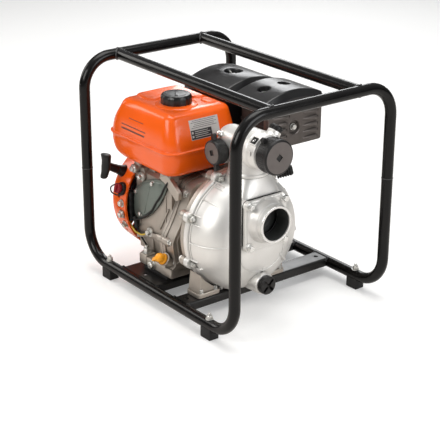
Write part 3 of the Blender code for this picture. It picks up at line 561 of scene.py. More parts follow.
def grip_ribs(centre, axis, radius, count, size, bevel):
    """Small boxes round an axis, sized outwards, around and along it."""
    axis, side, up = basis(axis)
    ribs = []
    for angle in full_turn(count):
        out = side * cos(angle) + up * sin(angle)
        axes = (out, axis.cross(out), axis)
        ribs.append(oriented_box(centre + out * radius, axes, size, bevel, 1))
    return ribs


def on_plane(point, axis, level):
    """2D point set at a level along the named axis."""
    a, b = point
    return Vector({"X": (level, a, b), "Y": (a, level, b), "Z": (a, b, level)}[axis])


def slab(points, axis, start, end):
    """Outline extruded along an axis."""
    return skin([[on_plane(p, axis, level) for p in points] for level in (start, end)])


def slab_round(points, axis, start, end, edge=1.5, steps=3):
    """Extruded convex outline whose end rims are rounded over."""
    cx, cy = centroid(points)
    sign = 1 if end > start else -1

    def drawn_in(distance):
        out = []
        for point in points:
            arm = Vector((point[0] - cx, point[1] - cy))
            arm = arm * ((arm.length - distance) / arm.length)
            out.append((cx + arm.x, cy + arm.y))
        return out

    rim = []
    for k in range(steps, -1, -1):
        angle = pi / 2 * k / steps
        rim.append((edge * (1 - sin(angle)), edge * (1 - cos(angle))))
    levels = [(start + sign * depth, inset) for depth, inset in rim]
    levels += [(end - sign * depth, inset) for depth, inset in rim[::-1]]
    return skin([[on_plane(p, axis, level) for p in drawn_in(inset)] for level, inset in levels])


def sweep(path, radius, sides=16, closed=False, radii=None):
    """Round section carried along a smooth path of points without twisting."""
    points = [Vector(point) for point in path]
    count = len(points)
    tangents = []
    for i in range(count):
        before = points[i - 1] if closed or i > 0 else points[i]
        after = points[(i + 1) % count] if closed or i < count - 1 else points[i]
        tangents.append((after - before).normalized())
    previous = tangents[0]
    normal = Z_AXIS if abs(previous.z) < 0.9 else X_AXIS
    normal = (normal - previous * normal.dot(previous)).normalized()
    normals = []
    for tangent in tangents:
        normal = previous.rotation_difference(tangent) @ normal
        normal = (normal - tangent * normal.dot(tangent)).normalized()
        previous = tangent
        normals.append(normal.copy())
    twist = 0.0
    if closed:
        back = previous.rotation_difference(tangents[0]) @ normal
        twist = atan2(normals[0].cross(back).dot(tangents[0]), normals[0].dot(back))
    rings = []
    for i, normal in enumerate(normals):
        rings.append(ring(points[i], normal, tangents[i].cross(normal),
                          radii[i] if radii else radius, sides,
                          -twist * i / count if closed else 0.0))
    return skin(rings, closed)


def bent_rod(name, points, radius, steps=8, sides=12, material="rubber", angle=60):
    """Lead or pipe along a curve through points."""
    place(name, sweep(spline(points, steps), radius, sides), material, angle=angle)


def bead(centre, axis, ring_radius, radius, segments=40, ripple=0.0):
    """Ring of round section, its thickness uneven by the given share."""
    axis, side, up = basis(axis)
    rings = []
    for k, angle in enumerate(full_turn(segments)):
        out = side * cos(angle) + up * sin(angle)
        thick = radius * (1 + ripple * sin(k * 2.4 + 1.0) + ripple * 0.6 * sin(k * 5.1 + 3.0))
        rings.append(ring(Vector(centre) + out * ring_radius, out, axis, thick, 8))
    return skin(rings, True)


def join(*parts):
    """Puts meshes together without a boolean."""
    out = bmesh.new()
    for part in parts:
        mesh = bpy.data.meshes.new("tmp")
        part.to_mesh(mesh)
        part.free()
        out.from_mesh(mesh)
        bpy.data.meshes.remove(mesh)
    return out


def work_object(bm):
    bmesh.ops.remove_doubles(bm, verts=bm.verts, dist=MERGE)
    bmesh.ops.recalc_face_normals(bm, faces=bm.faces)
    mesh = bpy.data.meshes.new("work")
    bm.to_mesh(mesh)
    bm.free()
    return new_object("work", mesh)


def combine(bm, tools, operation):
    base = work_object(bm)
    for other in tools:
        tool = work_object(other)
        boolean = base.modifiers.new("b", 'BOOLEAN')
        boolean.operation = operation
        boolean.solver = 'EXACT'
        boolean.object = tool
        depsgraph = bpy.context.evaluated_depsgraph_get()
        depsgraph.update()
        result = bpy.data.meshes.new_from_object(base.evaluated_get(depsgraph))
        base.modifiers.clear()
        base.data = result
        bpy.data.objects.remove(tool, do_unlink=True)
    out = bmesh.new()
    out.from_mesh(base.data)
    bpy.data.objects.remove(base, do_unlink=True)
    bmesh.ops.dissolve_degenerate(out, edges=out.edges, dist=0.0005)
    return out


def union(bm, *tools):
    return combine(bm, tools, 'UNION')


def cut(bm, *tools):
    return combine(bm, tools, 'DIFFERENCE')


def bolt_head(seat, axis, across, height, washer=0.0, washer_thick=1.6, turn=0.0, flange=False,
              screw=False):
    """Chamfered hexagon, or a cross-slotted round head, on an optional washer or flange."""
    axis, side, up = basis(axis)
    seat = Vector(seat)
    parts = []
    base = 0.0
    if washer > 0:
        thick = washer_thick
        for start, end, radius, edge, segments in (
                (0, thick, washer, 0.4, 32), (thick - 0.1, thick + 1.1, washer * 0.78, 0.3, 28)):
            parts.append(turned([(start, 0), (start, radius), (end, radius), (end, 0)],
                                edge, 2, segments, seat, axis))
        base = thick + 1.1
    if flange:
        parts.append(turned([(base, 0), (base, across * 0.78), (base + 1.2, across * 0.72),
                             (base + 2.0, across * 0.5), (base + 2.0, 0)], 0.4, 2, 32, seat, axis))
        base += 1.0
    top = base + height
    if screw:
        head = turned([(base, 0), (base, across * 0.5), (base + height * 0.7, across * 0.46),
                       (top, across * 0.25), (top, 0)], 0.6, 3, 28, seat, axis)
        along = side * cos(turn) + up * sin(turn)
        athwart = axis.cross(along)
        slots = [oriented_box(seat + axis * top, axes, (across * 0.66, across * 0.13, height))
                 for axes in ((along, athwart, axis), (athwart, -along, axis))]
        parts.append(cut(head, *slots))
        return join(*parts)
    corner = across / sqrt(3)
    hexagon = lathe([(base - 0.05, corner), (top, corner)], 6, seat, axis, phase=turn)
    cone = turned([(base - 0.5, 0), (base - 0.5, corner * 1.2),
                   (base + height * 0.62, corner * 1.06), (top, across * 0.455), (top, 0)],
                  0.2, 2, 36, seat, axis)
    parts.append(combine(hexagon, [cone], 'INTERSECT'))
    return join(*parts)


def bolt(name, seat, axis, across, height, material="steel", body="frame", replaces=None,
         **style):
    place(name, bolt_head(seat, axis, across, height, **style), material, body,
          replaces=replaces)


def stud_end(name, seat, axis, start, shoulder, tip, radius, tip_radius, edge):
    """End of a stud standing out of its nut."""
    profile = [(start, 0), (start, radius), (shoulder, radius), (tip, tip_radius), (tip, 0)]
    place(name, turned(profile, edge, 2, 20, seat, axis), "steel")


# ============================ frame ==========================================
FRAME_LOW, FRAME_HIGH = corners("frame_loop")
TUBE_R = 11.0
POST_X, POST_Y = FRAME_HIGH.x - TUBE_R, FRAME_HIGH.y - TUBE_R
TOP_Z, LOW_Z = FRAME_HIGH.z - TUBE_R, FRAME_LOW.z + TUBE_R
TOP_BEND, LOW_BEND = 60.0, 62.0


def frame_path(steps=14):
    """Centre line of the single bent tube, one quarter turn at each of eight corners."""
    bends = [(-POST_X, -POST_Y, TOP_Z, TOP_BEND), (-POST_X, -POST_Y, LOW_Z, LOW_BEND),
             (POST_X, -POST_Y, LOW_Z, LOW_BEND), (POST_X, -POST_Y, TOP_Z, TOP_BEND),
             (POST_X, POST_Y, TOP_Z, TOP_BEND), (POST_X, POST_Y, LOW_Z, LOW_BEND),
             (-POST_X, POST_Y, LOW_Z, LOW_BEND), (-POST_X, POST_Y, TOP_Z, TOP_BEND)]
    out = []
    for i in range(8):
        corner = Vector(bends[i][:3])
        arriving = (corner - Vector(bends[i - 1][:3])).normalized()
        leaving = (Vector(bends[(i + 1) % 8][:3]) - corner).normalized()
        radius = bends[i][3]
        centre = corner - arriving * radius + leaving * radius
        for k in range(steps + 1):
            angle = radians(90.0 * k / steps)
            out.append(centre - leaving * radius * cos(angle) + arriving * radius * sin(angle))
    return out


place("frame_tube", sweep(frame_path(), TUBE_R, 32, closed=True), "tube", replaces="frame_loop",
      angle=60)
for node in ("top_rail_front", "top_rail_rear"):
    rail_y = middle(node).y
    place("tube_" + node, rod((-POST_X + 1, rail_y, TOP_Z), (POST_X - 1, rail_y, TOP_Z),
                              TUBE_R - 0.02, 32), "tube", replaces=node, angle=60)
    for side in (-1, 1):
        # fillet weld round the coped end
        path = []
        for angle in full_turn(40):
            y, z = (TUBE_R + 0.4) * cos(angle), (TUBE_R + 0.4) * sin(angle)
            x = sqrt(max(0.0, TUBE_R * TUBE_R - (z * 0.98) ** 2)) + 1.0
            path.append((side * (POST_X - x), rail_y + y, TOP_Z + z))
        radii = [1.9 + 0.35 * sin(k * 2.6) for k in range(40)]
        place(f"weld_{node}_{side > 0:d}", sweep(path, 1.9, 8, closed=True, radii=radii), "weld",
              angle=60)

# thin proud seam round the post at the front left and at the rear right
for side, share in ((-1, 0.46), (1, 0.55)):
    seam = (side * POST_X, side * POST_Y, FRAME_LOW.z + (FRAME_HIGH.z - FRAME_LOW.z) * share)
    place(f"tube_joint_{side > 0:d}", bead(seam, Z_AXIS, TUBE_R - 0.2, 1.0, 48, ripple=0.2),
          "weld", angle=60)


def cross_member(node):
    """Pressed channel with rounded shoulders, welded onto the lower tubes."""
    low, high = corners(node)
    sheet, bend = 3.0, 4.0
    inner = bend - sheet
    left, right, level = low.x + bend, high.x - bend, high.z - bend
    outline = [(low.x, low.z), (low.x, level)]
    outline += arc(left, level, bend, 180, 90, 6) + arc(right, level, bend, 90, 0, 6)
    outline += [(high.x, low.z), (high.x - sheet, low.z), (high.x - sheet, level)]
    outline += arc(right, level, inner, 0, 90, 6) + arc(left, level, inner, 90, 180, 6)
    outline.append((low.x + sheet, low.z))
    channel = slab(outline, 'Y', low.y, high.y)
    for side in (-1, 1):
        channel = cut(channel, rod((low.x - 20, side * POST_Y, LOW_Z),
                                   (high.x + 20, side * POST_Y, LOW_Z), TUBE_R, 40))
    x = (low.x + high.x) / 2
    holes = [rod((x, y, high.z - 10), (x, y, high.z + 5), 4.5, 20) for y in (-165, 165)]
    place(node.replace("_", "-") + "_pressing", cut(channel, *holes), "plate", replaces=node,
          bevel=0.5)
    radii = [1.9 + 0.4 * sin(k * 2.3) for k in range(12)]
    for side in (-1, 1):
        start, end = (112, 162) if side > 0 else (68, 18)
        line = arc(side * POST_Y, LOW_Z, TUBE_R + 0.8, start, end, 11)
        for x, letter in ((low.x, "a"), (high.x, "b")):
            place(f"weld_{node}_{side > 0:d}_{letter}",
                  sweep([(x, y, z) for y, z in line], 1.9, 8, radii=radii), "weld", angle=60)


cross_member("engine_cross_plate")
cross_member("pump_cross_member")


def rubber_foot(node, turn):
    """Saddle under the tube with a grooved sole, bolted through it."""
    low, high = corners(node)
    centre = middle(node)
    foot = box(low.x, high.x, low.y, high.y, 0, high.z, 1.6, 3)
    foot = cut(foot, rod((low.x - 20, centre.y, LOW_Z), (high.x + 20, centre.y, LOW_Z),
                         TUBE_R + 0.02, 48))
    foot = cut(foot, *[box(low.x - 3, high.x + 3, centre.y + shift - 1.0, centre.y + shift + 1.0,
                           -2, 1.2) for shift in (-7, 0, 7)])
    place("rubber_" + node, foot, "rubber", replaces=node)
    top = LOW_Z + TUBE_R
    bolt("bolt_" + node, (centre.x, centre.y, top - 0.4), Z_AXIS, 10, 5.6, washer=7.5, turn=turn)
    stud_end("stud_" + node, (centre.x, centre.y, top), Z_AXIS, start=4, shoulder=11.5,
             tip=12.3, radius=2.9, tip_radius=2.2, edge=0.3)


for side_x, name_x in ((-1, "left"), (1, "right")):
    for side_y, name_y in ((-1, "front"), (1, "rear")):
        rubber_foot(f"foot_{name_y}_{name_x}", 0.3 + side_x + side_y)

for node in ("rubber_mount_front", "rubber_mount_rear"):
    low, high = corners(node)
    place("block_" + node, box(low.x, high.x, low.y, high.y, low.z, high.z, 2.2, 4), "rubber",
          replaces=node)


# ============================ engine block ===================================
CASE_X = -145.0                 # left face of the crankcase
JOINT_X = -20.0                 # joint between crankcase and its cover
WALL_Y = -131.0                 # front wall of the crankcase
BARREL_TILT = 25                # degrees of the cylinder above +Y
BARREL_FOOT = Vector((-80, CRANK_Y, CRANK_Z))
BARREL_DIR = radial(BARREL_TILT)
BARREL_FRAME = Matrix.Translation(BARREL_FOOT) @ Matrix.Rotation(radians(BARREL_TILT), 4, 'X')


def on_barrel(bm):
    """Carries a mesh whose Y runs along the cylinder into place."""
    bmesh.ops.transform(bm, matrix=BARREL_FRAME, verts=bm.verts)
    return bm


def barrel_bore():
    return rod(BARREL_FOOT + BARREL_DIR * 30, BARREL_FOOT + BARREL_DIR * 160, 33.8, 48)


# main casting: (y, z) outline of the walls, then base, feet and the left tank post
CASE_OUTLINE = [(-124, 64), (-126, 88), (-131, 108), (-131.0, 214), (-127, 230), (-112, 239),
                (-20, 240), (40, 226), (64, 182), (66, 64)]
case = union(slab(CASE_OUTLINE, 'X', CASE_X, JOINT_X - 4.5),
             box(-108, 2, -152, 72, 48, 65.8, 2.2, 3),
             box(-108, -84, -154, -128, 48, 69.5, 3.0, 3),
             box(-34, 2, -154, -130, 48, 69.0, 3.0, 3),
             slab(rect(-121, -97, 225, 254), 'Y', -119, -61))
# hollow inside, the crank and the cam turn there
case = cut(case, lathe([(-126, 60), (-10, 60)], 48), box(-126, -98, -108, -54, 84, 134),
           box(-98.5, -10, -112, 46, 56, 130),
           rod((-150, CRANK_Y, CRANK_Z), (-120, CRANK_Y, CRANK_Z), 14, 32))
place("crankcase_casting", case, "cast", replaces="crankcase", angle=30, bevel=1.5, segments=3)
place("cylinder_barrel", cut(on_barrel(box(-40, 40, 20, 144.4, -36, 36, 4)), barrel_bore()),
      "cast", angle=30, bevel=0.8)
place("cylinder_fins",
      join(*[cut(on_barrel(box(-47.8, 47.8, y, y + 2.4, -43.8, 43.8, 0.6)), barrel_bore())
             for y in (86, 93, 100, 107, 114, 121, 128, 135, 141.5)]), "cast", angle=30)

# crankcase cover outline, (y, z)
COVER_OUTLINE = smooth_loop(
    [(-152, 80), (-158, 118), (-156, 134), (-139, 164), (-121, 204), (-116, 222), (-103, 238),
     (-78, 244), (-30, 248), (40, 241), (80, 205), (86, 160), (84, 96), (76, 66), (-140, 66)], 5)
COVER_Y, COVER_Z = centroid(COVER_OUTLINE)


def cover_inset(distance):
    """The cover outline scaled about its middle so that it never crosses itself."""
    return [(COVER_Y + (y - COVER_Y) * (1 - distance / 118.0),
             COVER_Z + (z - COVER_Z) * (1 - distance / 91.0)) for y, z in COVER_OUTLINE]


def cover_ring(outer_inset, inner_inset, x0, x1):
    """Band that follows the cover outline."""
    outer, inner = cover_inset(outer_inset), cover_inset(inner_inset)
    return skin([[Vector((x, *p)) for p in outline]
                 for x, outline in ((x0, outer), (x1, outer), (x1, inner), (x0, inner))], True)


place("flange_lip_case", cover_ring(0.6, 14, JOINT_X - 7.0, JOINT_X - 0.55), "cast", bevel=1.3,
      segments=3)
cover = union(slab(cover_inset(0.8), 'X', JOINT_X + 0.35, JOINT_X + 8),
              slab(cover_inset(3.6), 'X', JOINT_X + 6, 12.5), slab(cover_inset(14), 'X', 8, 15.8))
place("crankcase_cover_casting", cut(cover, lathe([(-30, 14), (30, 14)], 40)), "cast",
      replaces="crankcase_cover", angle=30, bevel=1.6, segments=3)
place("case_joint", cover_ring(1.4, 13, JOINT_X - 0.6, JOINT_X + 0.4), "rubber")
# bolt bosses round the flange, (y, z)
for i, (y, z) in enumerate(((-153, 126), (-114, 218), (-60, 241), (20, 241), (74, 204),
                            (80, 110), (-146, 84))):
    place(f"cover_boss_{i}", disc((JOINT_X + 0.3, y, z), (JOINT_X + 20, y, z), 8.2, 28, 1.2),
          "cast")
    place(f"case_boss_{i}", disc((JOINT_X - 17, y, z), (JOINT_X - 0.5, y, z), 7.6, 28, 1.2),
          "cast")
    bolt(f"cover_bolt_{i}", (JOINT_X + 20, y, z), X_AXIS, 10, 6.0, turn=0.4 + i, flange=True)

# webs on the front wall, running up towards the flange: (x, z) of each end
for i, (start, end) in enumerate((((-64, 128), (JOINT_X - 13, 180)),
                                  ((-46, 126), (JOINT_X - 9, 152)))):
    run = Vector((end[0] - start[0], 0, end[1] - start[1]))
    along = run.normalized()
    centre = ((start[0] + end[0]) / 2, WALL_Y - 0.6, (start[1] + end[1]) / 2)
    place(f"wall_web_{i}", oriented_box(centre, (along, Y_AXIS, along.cross(Y_AXIS)),
                                        (run.length, 4.4, 3.2), 0.9, 3), "cast")
LEDGE_OUTLINE = [(-116, 95), (-90, 103), (-60, 108), (-24, 112), (-24, 121), (-60, 117),
                 (-90, 112), (-116, 104), (-142, 95), (-142, 86)]
place("wall_ledge", slab(LEDGE_OUTLINE, 'Y', WALL_Y + 3, WALL_Y - 4.5), "cast", bevel=1.2,
      segments=3)
for i, x in enumerate((-134, -46)):
    place(f"wall_rib_{i}", slab(rect(x, x + 3.4, 120, 206), 'Y', WALL_Y + 1, WALL_Y - 1.6),
          "cast", bevel=0.7)
for i, x in enumerate((-96, -70, -44)):
    place(f"sump_rib_{i}", slab(rect(x, x + 3.2, 66, 96), 'Y', -118, -129.5), "cast", bevel=0.6)

# tank supports on top of the casting
strut = slab([(-62, 239), (-40, 250), (-30, 250), (4, 224), (2, 210), (-6, 206), (-34, 226)],
             'Y', -126, -135)
place("tank_strut", strut, "cast", bevel=1.4, segments=3)
post_right = union(slab(rect(-53, -29, 222, 254), 'Y', -119, -61),
                   slab([(-60, 236), (-58, 254), (-26, 254), (-24, 236)], 'Y', -134, -112))
place("tank_post_right", post_right, "cast", bevel=1.6, segments=3)
post_left = union(rod((-140, -128, 232), (-140, -128, 254), 9, 32),
                  disc((-140, -128, 236), (-140, -142, 236), 9.5, 28, 1.2),
                  slab([(-150, 214), (-150, 240), (-118, 240), (-112, 214)], 'Y', -131, -112))
place("tank_post_left", post_left, "cast", bevel=1.4, segments=3)
bolt("post_left_bolt", (-140, -142, 236), -Y_AXIS, 10, 5, turn=0.2, flange=True)
place("air_cleaner_post", slab(rect(-138, -118, 190, 261), 'Y', 30, 50), "cast", bevel=1.6,
      segments=3)
# bosses on the wall, the lower one carries the earth lead
for i, (x, z) in enumerate(((-123, 222), (-97, 111))):
    place(f"wall_boss_{i}", disc((x, WALL_Y + 12, z), (x, WALL_Y - 3, z), 10.5, 32, 1.2), "cast")
    bolt(f"wall_bolt_{i}", (x, WALL_Y - 3, z), -Y_AXIS, 10, 6, washer=9.5, turn=0.3 + i)


def side_plate():
    """Domed oval plate on the front wall, with a raised crease, over its joint."""
    outline = smooth_loop(
        [(-152, 172), (-144, 192), (-130, 205), (-110, 218), (-83, 229), (-57, 235), (-42, 233),
         (-37, 224), (-45, 206), (-62, 181), (-86, 156), (-113, 137), (-135, 130), (-148, 138),
         (-153, 155)], 5)
    face_y = WALL_Y - 1.2
    rings = []
    for depth, inset in ((0.0, 0.6), (0.0, 0.0), (2.2, 0.0), (3.4, 0.9), (3.9, 2.4), (4.1, 4.5)):
        rings.append([Vector((x, face_y - depth, z)) for x, z in shrink(outline, inset)])
    cx, cz = centroid(outline)
    for scale, depth in ((0.86, 4.2), (0.82, 5.6), (0.6, 6.4), (0.3, 6.8)):
        rings.append([Vector((cx + (x - cx) * scale, face_y - depth, cz + (z - cz) * scale))
                      for x, z in outline])
    place("side_plate_cover", skin(rings), "side", replaces="crankcase_side_plate", angle=28)
    place("side_plate_joint", slab(shrink(outline, 0.5), 'Y', WALL_Y + 0.4, WALL_Y - 1.3),
          "rubber")
    crease = [(-112, 152), (-90, 213), (-86, 211), (-108, 150)]
    place("side_plate_crease", slab(crease, 'Y', WALL_Y - 4, WALL_Y - 8.6), "side", bevel=1.0)
    for i, (x, z) in enumerate(((-80, 221), (-124, 144), (-137, 188))):
        bolt(f"side_plate_bolt_{i}", (x, WALL_Y - 5.2, z), -Y_AXIS, 8, 4.4, turn=0.5 + i,
             flange=True)


side_plate()

# hold-down bolts and drain bolt
for i, (x, y) in enumerate(((-98, -142), (-16, -142), (-98, 60), (-16, 60))):
    seat = (x, y, 69.2 if y < 0 else 65.6)
    bolt(f"base_bolt_{i}", seat, Z_AXIS, 12, 7, washer=9.5, turn=0.2 * i)
    stud_end(f"base_stud_{i}", seat, Z_AXIS, start=6, shoulder=14, tip=15.2, radius=3.8,
             tip_radius=2.6, edge=0.4)
drain = middle("oil_drain_bolt")
bolt("drain_bolt_hex", (drain.x, -152.3, drain.z), -Y_AXIS, 14, 6.4, replaces="oil_drain_bolt",
     turn=0.3, washer=9.6, washer_thick=1.0)
place("drain_bolt_shank", rod((drain.x, -152.4, drain.z), (drain.x, -129, drain.z), 5.0, 24),
      "steel")


def facing_front(axis):
    return -axis if axis.y > 0 else axis


def dipstick():
    """Neck on the cover and yellow plug with a flat wing."""
    seat = joint_at("dipstick_turn")
    axis = facing_front(joint_axis("dipstick_turn"))
    neck = turned([(-22, 0), (-22, 12), (4, 12), (4, 13.6), (8, 13.6), (8, 0)],
                  0.8, 3, 40, seat, axis)
    place("dipstick_neck", cut(neck, rod(seat - axis * 30, seat + axis * 20, 7.6, 24)), "cast")
    plug = turned([(-26, 0), (-26, 2.2), (-6, 2.2), (-6, 7.2), (8.3, 7.2), (8.3, 10.8),
                   (12.0, 11.0), (14.0, 9.4), (17, 9.6), (22, 9.2), (26.5, 6.4), (27.6, 0)],
                  1.0, 4, 48, seat, axis)
    wing_hint = Vector((-0.61, -0.79, 0.12))
    across = (wing_hint - axis * wing_hint.dot(axis)).normalized()
    normal = axis.cross(across)
    # wing outline: (across, along the axis)
    outline = [(-9.5, 15.5), (-10.2, 19.5), (-8.5, 24.5), (-3, 27.2), (3, 26.2), (9, 23.0),
               (16, 20.4), (22.5, 18.4), (24.0, 16.8), (22.5, 15.4), (15, 13.8), (8, 12.6),
               (0, 12.2), (-6, 13.0)]
    mid = 19.0
    wing = [[seat + across * (a * scale) + axis * (mid + (b - mid) * scale) + normal * level
             for a, b in outline]
            for level, scale in ((-3.2, 0.78), (-3.6, 0.90), (-2.4, 1.0), (2.4, 1.0),
                                 (3.6, 0.90), (3.2, 0.78))]
    place("dipstick_plug", join(plug, skin(wing)), "yellow", "oil_dipstick",
          replaces="dipstick", angle=32)
    place("dipstick_grip", join(*grip_ribs(seat + axis * 10.4, axis, 10.8, 18,
                                           (1.2, 1.4, 3.2), 0.3)), "yellow", "oil_dipstick")
    place("dipstick_oring", bead(seat + axis * 8.1, axis, 8.6, 1.1), "rubber", "oil_dipstick")


dipstick()

# cylinder head and rocker cover
PLUG_SEAT = Vector((-29.0, 130.0, 197.0))
PLUG_AXIS = joint_axis("plug_boot_pull")


def clear_of_plug(bm):
    """Cuts the room the spark plug and its boot need."""
    return cut(bm, rod(PLUG_SEAT + PLUG_AXIS * 4.5, PLUG_SEAT + PLUG_AXIS * 60, 13.5, 32),
               rod(PLUG_SEAT - PLUG_AXIS * 30, PLUG_SEAT + PLUG_AXIS * 10, 9.7, 32))


place("cylinder_head_core", clear_of_plug(on_barrel(box(-44, 44, 145.2, 193, -40, 40, 3, 3))),
      "cast", replaces="cylinder_head", bevel=0.8)
place("cylinder_head_fins",
      join(*[clear_of_plug(on_barrel(box(-50, 50, y, y + 2.8, -46, 46, 0.8)))
             for y in (147, 154, 161, 168, 175, 182, 190)]), "cast")
place("rocker_cover_casting",
      on_barrel(slab_round(rounded(-44, 44, -40, 40, 12, 6), 'Y', 193.3, 217, 5, 4)), "cast",
      replaces="rocker_cover", angle=30)
place("rocker_cover_flange",
      on_barrel(slab(rounded(-46, 46, -42, 42, 13, 6), 'Y', 193.2, 197.5)), "cast", bevel=0.8)
for i, (x, z) in enumerate(((-38, -34), (38, -34), (-38, 34), (38, 34))):
    bolt(f"rocker_bolt_{i}", BARREL_FRAME @ Vector((x, 197.5, z)), BARREL_DIR, 10, 5,
         flange=True, turn=i * 0.3)

# moving parts inside keep their CAD shape
keep_cad("crankshaft", "chrome", bevel=0.5)
keep_cad("camshaft", "chrome", bevel=0.4)
keep_cad("piston", "alu_turned", bevel=0.5)
keep_cad("flywheel", "iron", bevel=0.8)
keep_cad("recoil_pulley", "black", bevel=0.5)

# ============================ fan housing, starter ===========================
FAN_R = 114.0


def fan_housing():
    """Flat-topped drum on the left, open in the middle, with slots in its face and rim."""
    shell = turned([(-148, FAN_R), (-166, 113.4), (-198.5, 111), (-204.8, 103), (-204.8, 40)],
                   3.5, 4, 96)
    shell = combine(shell, [box(-220, -140, -200, 200, 0, 254.5)], 'INTERSECT')
    hollow = lathe([(-140, 110.6), (-199, 107.4), (-202, 98), (-202, 40)], 72)
    hollow = combine(hollow, [box(-220, -130, -200, 200, 0, 251.5)], 'INTERSECT')
    openings = [lathe([(-230, 60), (-190, 60)], 72)]
    for k in range(18):
        angle = 20 * k + 8
        openings.append(radial_box(at_crank(angle, 88, -203), angle, (14, 16, 5.0), 1.2))
    for angle, length in ((172, 7), (183, 7), (205, 9), (214, 9)):
        openings.append(radial_box(at_crank(angle, FAN_R, -174), angle, (9, 14, length), 2.0, 3))
    place("fan_housing_shell", cut(shell, hollow, *openings), "orange", replaces="fan_housing",
          angle=28, bevel=0.9, segments=3)
    for i, angle in enumerate((178, 189.5, 202)):
        foot = at_crank(angle, FAN_R - 0.6, -161)
        out = radial(angle)
        lift = 0.2
        if i == 1:
            lift = 3.0
            place("rim_clip", radial_box(foot + out * 1.6, angle, (13, 3.0, 16), 1.0), "steel")
        bolt(f"rim_bolt_{i}", foot + out * lift, out, 10, 5, washer=8.2, turn=0.3 * i)


def recoil_cover():
    dome = turned([(-205.2, 84), (-205.2, 58), (-209, 56), (-224, 44), (-224, 12), (-226.9, 12),
                   (-226.9, 44), (-224, 55), (-214, 68), (-211, 80)], 2.5, 4, 96, closed=True)
    slots = [radial_box(at_crank(angle, 60, -216), angle, (30, 20, 6.0), 1.5)
             for angle in range(15, 360, 30)]
    place("recoil_cover_dome", cut(dome, *slots), "orange", replaces="recoil_cover", angle=28,
          bevel=0.6)
    for k in range(4):
        bolt(f"recoil_bolt_{k}", at_crank(45 + 90 * k, 77, -210.5), -X_AXIS, 10, 4.4,
             flange=True, turn=k * 0.4)


fan_housing()
recoil_cover()

# T handle: half-length position along the bar, radius
HANDLE_BAR = [(-25.5, 0.0), (-25.2, 4.6), (-24.0, 7.0), (-20, 8.4), (-13, 8.8), (-6, 9.8),
              (0, 10.6), (6, 10.4), (13, 10.4), (19, 11.2), (23.2, 11.8), (25.0, 10.4),
              (25.5, 7.5), (25.5, 0.0)]


def starter_handle():
    """Rope guide, T handle and the rope that stretches between them."""
    pull = joint_axis("handle_pull")
    base = Vector((middle("pull_handle").x, -139.0, 218.0)) + pull * 13.0
    guide = turned([(-18, 4.2), (-18, 17), (-8, 15.5), (0, 11.8), (12, 9.2), (12, 4.2)],
                   1.4, 4, 48, base - pull * 13.0, pull, closed=True)
    place("rope_guide", guide, "black")
    stem = turned([(0.3, 2.7), (0.3, 8.6), (4, 9.0), (14, 8.2), (24, 8.4), (33, 9.6),
                   (33, 2.7)], 1.2, 4, 40, base, pull, closed=True)
    place("handle_stem", stem, "black", "handle", replaces="pull_handle", angle=40)
    bar_centre = base + pull * 30.0
    bar_dir = Vector((0.0, 0.15, 0.989)).normalized()
    flat = bar_dir.cross(X_AXIS).normalized() * 0.86
    rings = []
    for along, radius in HANDLE_BAR:
        centre = (bar_centre + bar_dir * along + pull * (0.006 * along * along)
                  - Vector((0, 0, 3)))
        rings.append(ring(centre, X_AXIS, flat, radius, 36))
    place("handle_bar", skin(rings), "black", "handle", angle=60)

    start = base - pull * 12.0
    path = [start + pull * (16.0 * k / 60) for k in range(61)]
    rope = new_mesh("starter_rope", sweep(path, 1.9, 12), "rope")
    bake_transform(rope)


starter_handle()

SWITCH = joint_at("switch_turn")


def engine_switch():
    """Round black housing, ribbed red knob and a loop of lead."""
    axis = facing_front(joint_axis("switch_turn"))
    housing = turned([(-6, 0), (-6, 13.6), (-1, 13.8), (4.5, 12.6), (6, 11.4), (6, 10.6),
                      (1, 10.2), (1, 0)], 0.9, 3, 48, SWITCH, axis)
    place("switch_housing", housing, "black", replaces="switch_body")
    knob = turned([(1.3, 0), (1.3, 5.8), (7.0, 5.8), (7.0, 9.6), (9, 10.0), (13, 9.4),
                   (14.6, 8.0), (14.6, 0)], 0.7, 3, 48, SWITCH, axis)
    _, side, up = basis(axis)
    grip = oriented_box(SWITCH + axis * 16.0, (side, up, axis), (5.2, 17.0, 5.0), 1.6, 3)
    ribs = grip_ribs(SWITCH + axis * 10.6, axis, 9.7, 16, (1.4, 1.6, 5.0), 0.4)
    place("switch_rotor", join(knob, grip, *ribs), "red", "switch", replaces="switch_knob")
    # along the axis, then the offset in x, y, z
    loop = [(2, 4, 0, -12), (7, -2, -4, -14), (13, -10, -6, -10), (14, -14, -4, -1),
            (8, -13, 0, 5), (0, -10, 2, 8)]
    bent_rod("switch_loop", [SWITCH + axis * along + Vector(offset) for along, *offset in loop],
             1.5, angle=35)


engine_switch()

# wiring on the front: corrugated sleeve, black leads, yellow earth lead to its bolt
shares = [k / 59.0 for k in range(60)]
place("wire_sleeve",
      sweep([(-152.5 - 2.0 * sin(3.0 * f), -140.0, 184 - 62 * f) for f in shares], 6.5, 20,
            radii=[6.7 + 0.8 * (k % 2) + 0.6 * sin(k * 0.37) for k in range(60)]),
      "black", angle=50)
bent_rod("wire_sleeve_tail", [(-146, -138, 130), (-141, -137.5, 122), (-139, -137, 109)], 4.4,
         steps=6, sides=16)
bent_rod("black_lead",
         [(-30, -132, 240), (-36, -136.6, 230), (-43, -137.5, 219), (-49, -137.8, 208),
          (-59, -138, 195), (-69, -138, 183), (-76, -138, 173), (-84, -138, 162),
          (-100, -138, 147), (-118, -138, 136), (-132, -138.5, 129), (-145, -138.5, 125)], 2.0)
bent_rod("black_lead_low",
         [(-147, -134, 112), (-138, -132, 97), (-128, -131.5, 87), (-119, -131, 80),
          (-117, -127, 72), (-116, -122, 66)], 1.9)
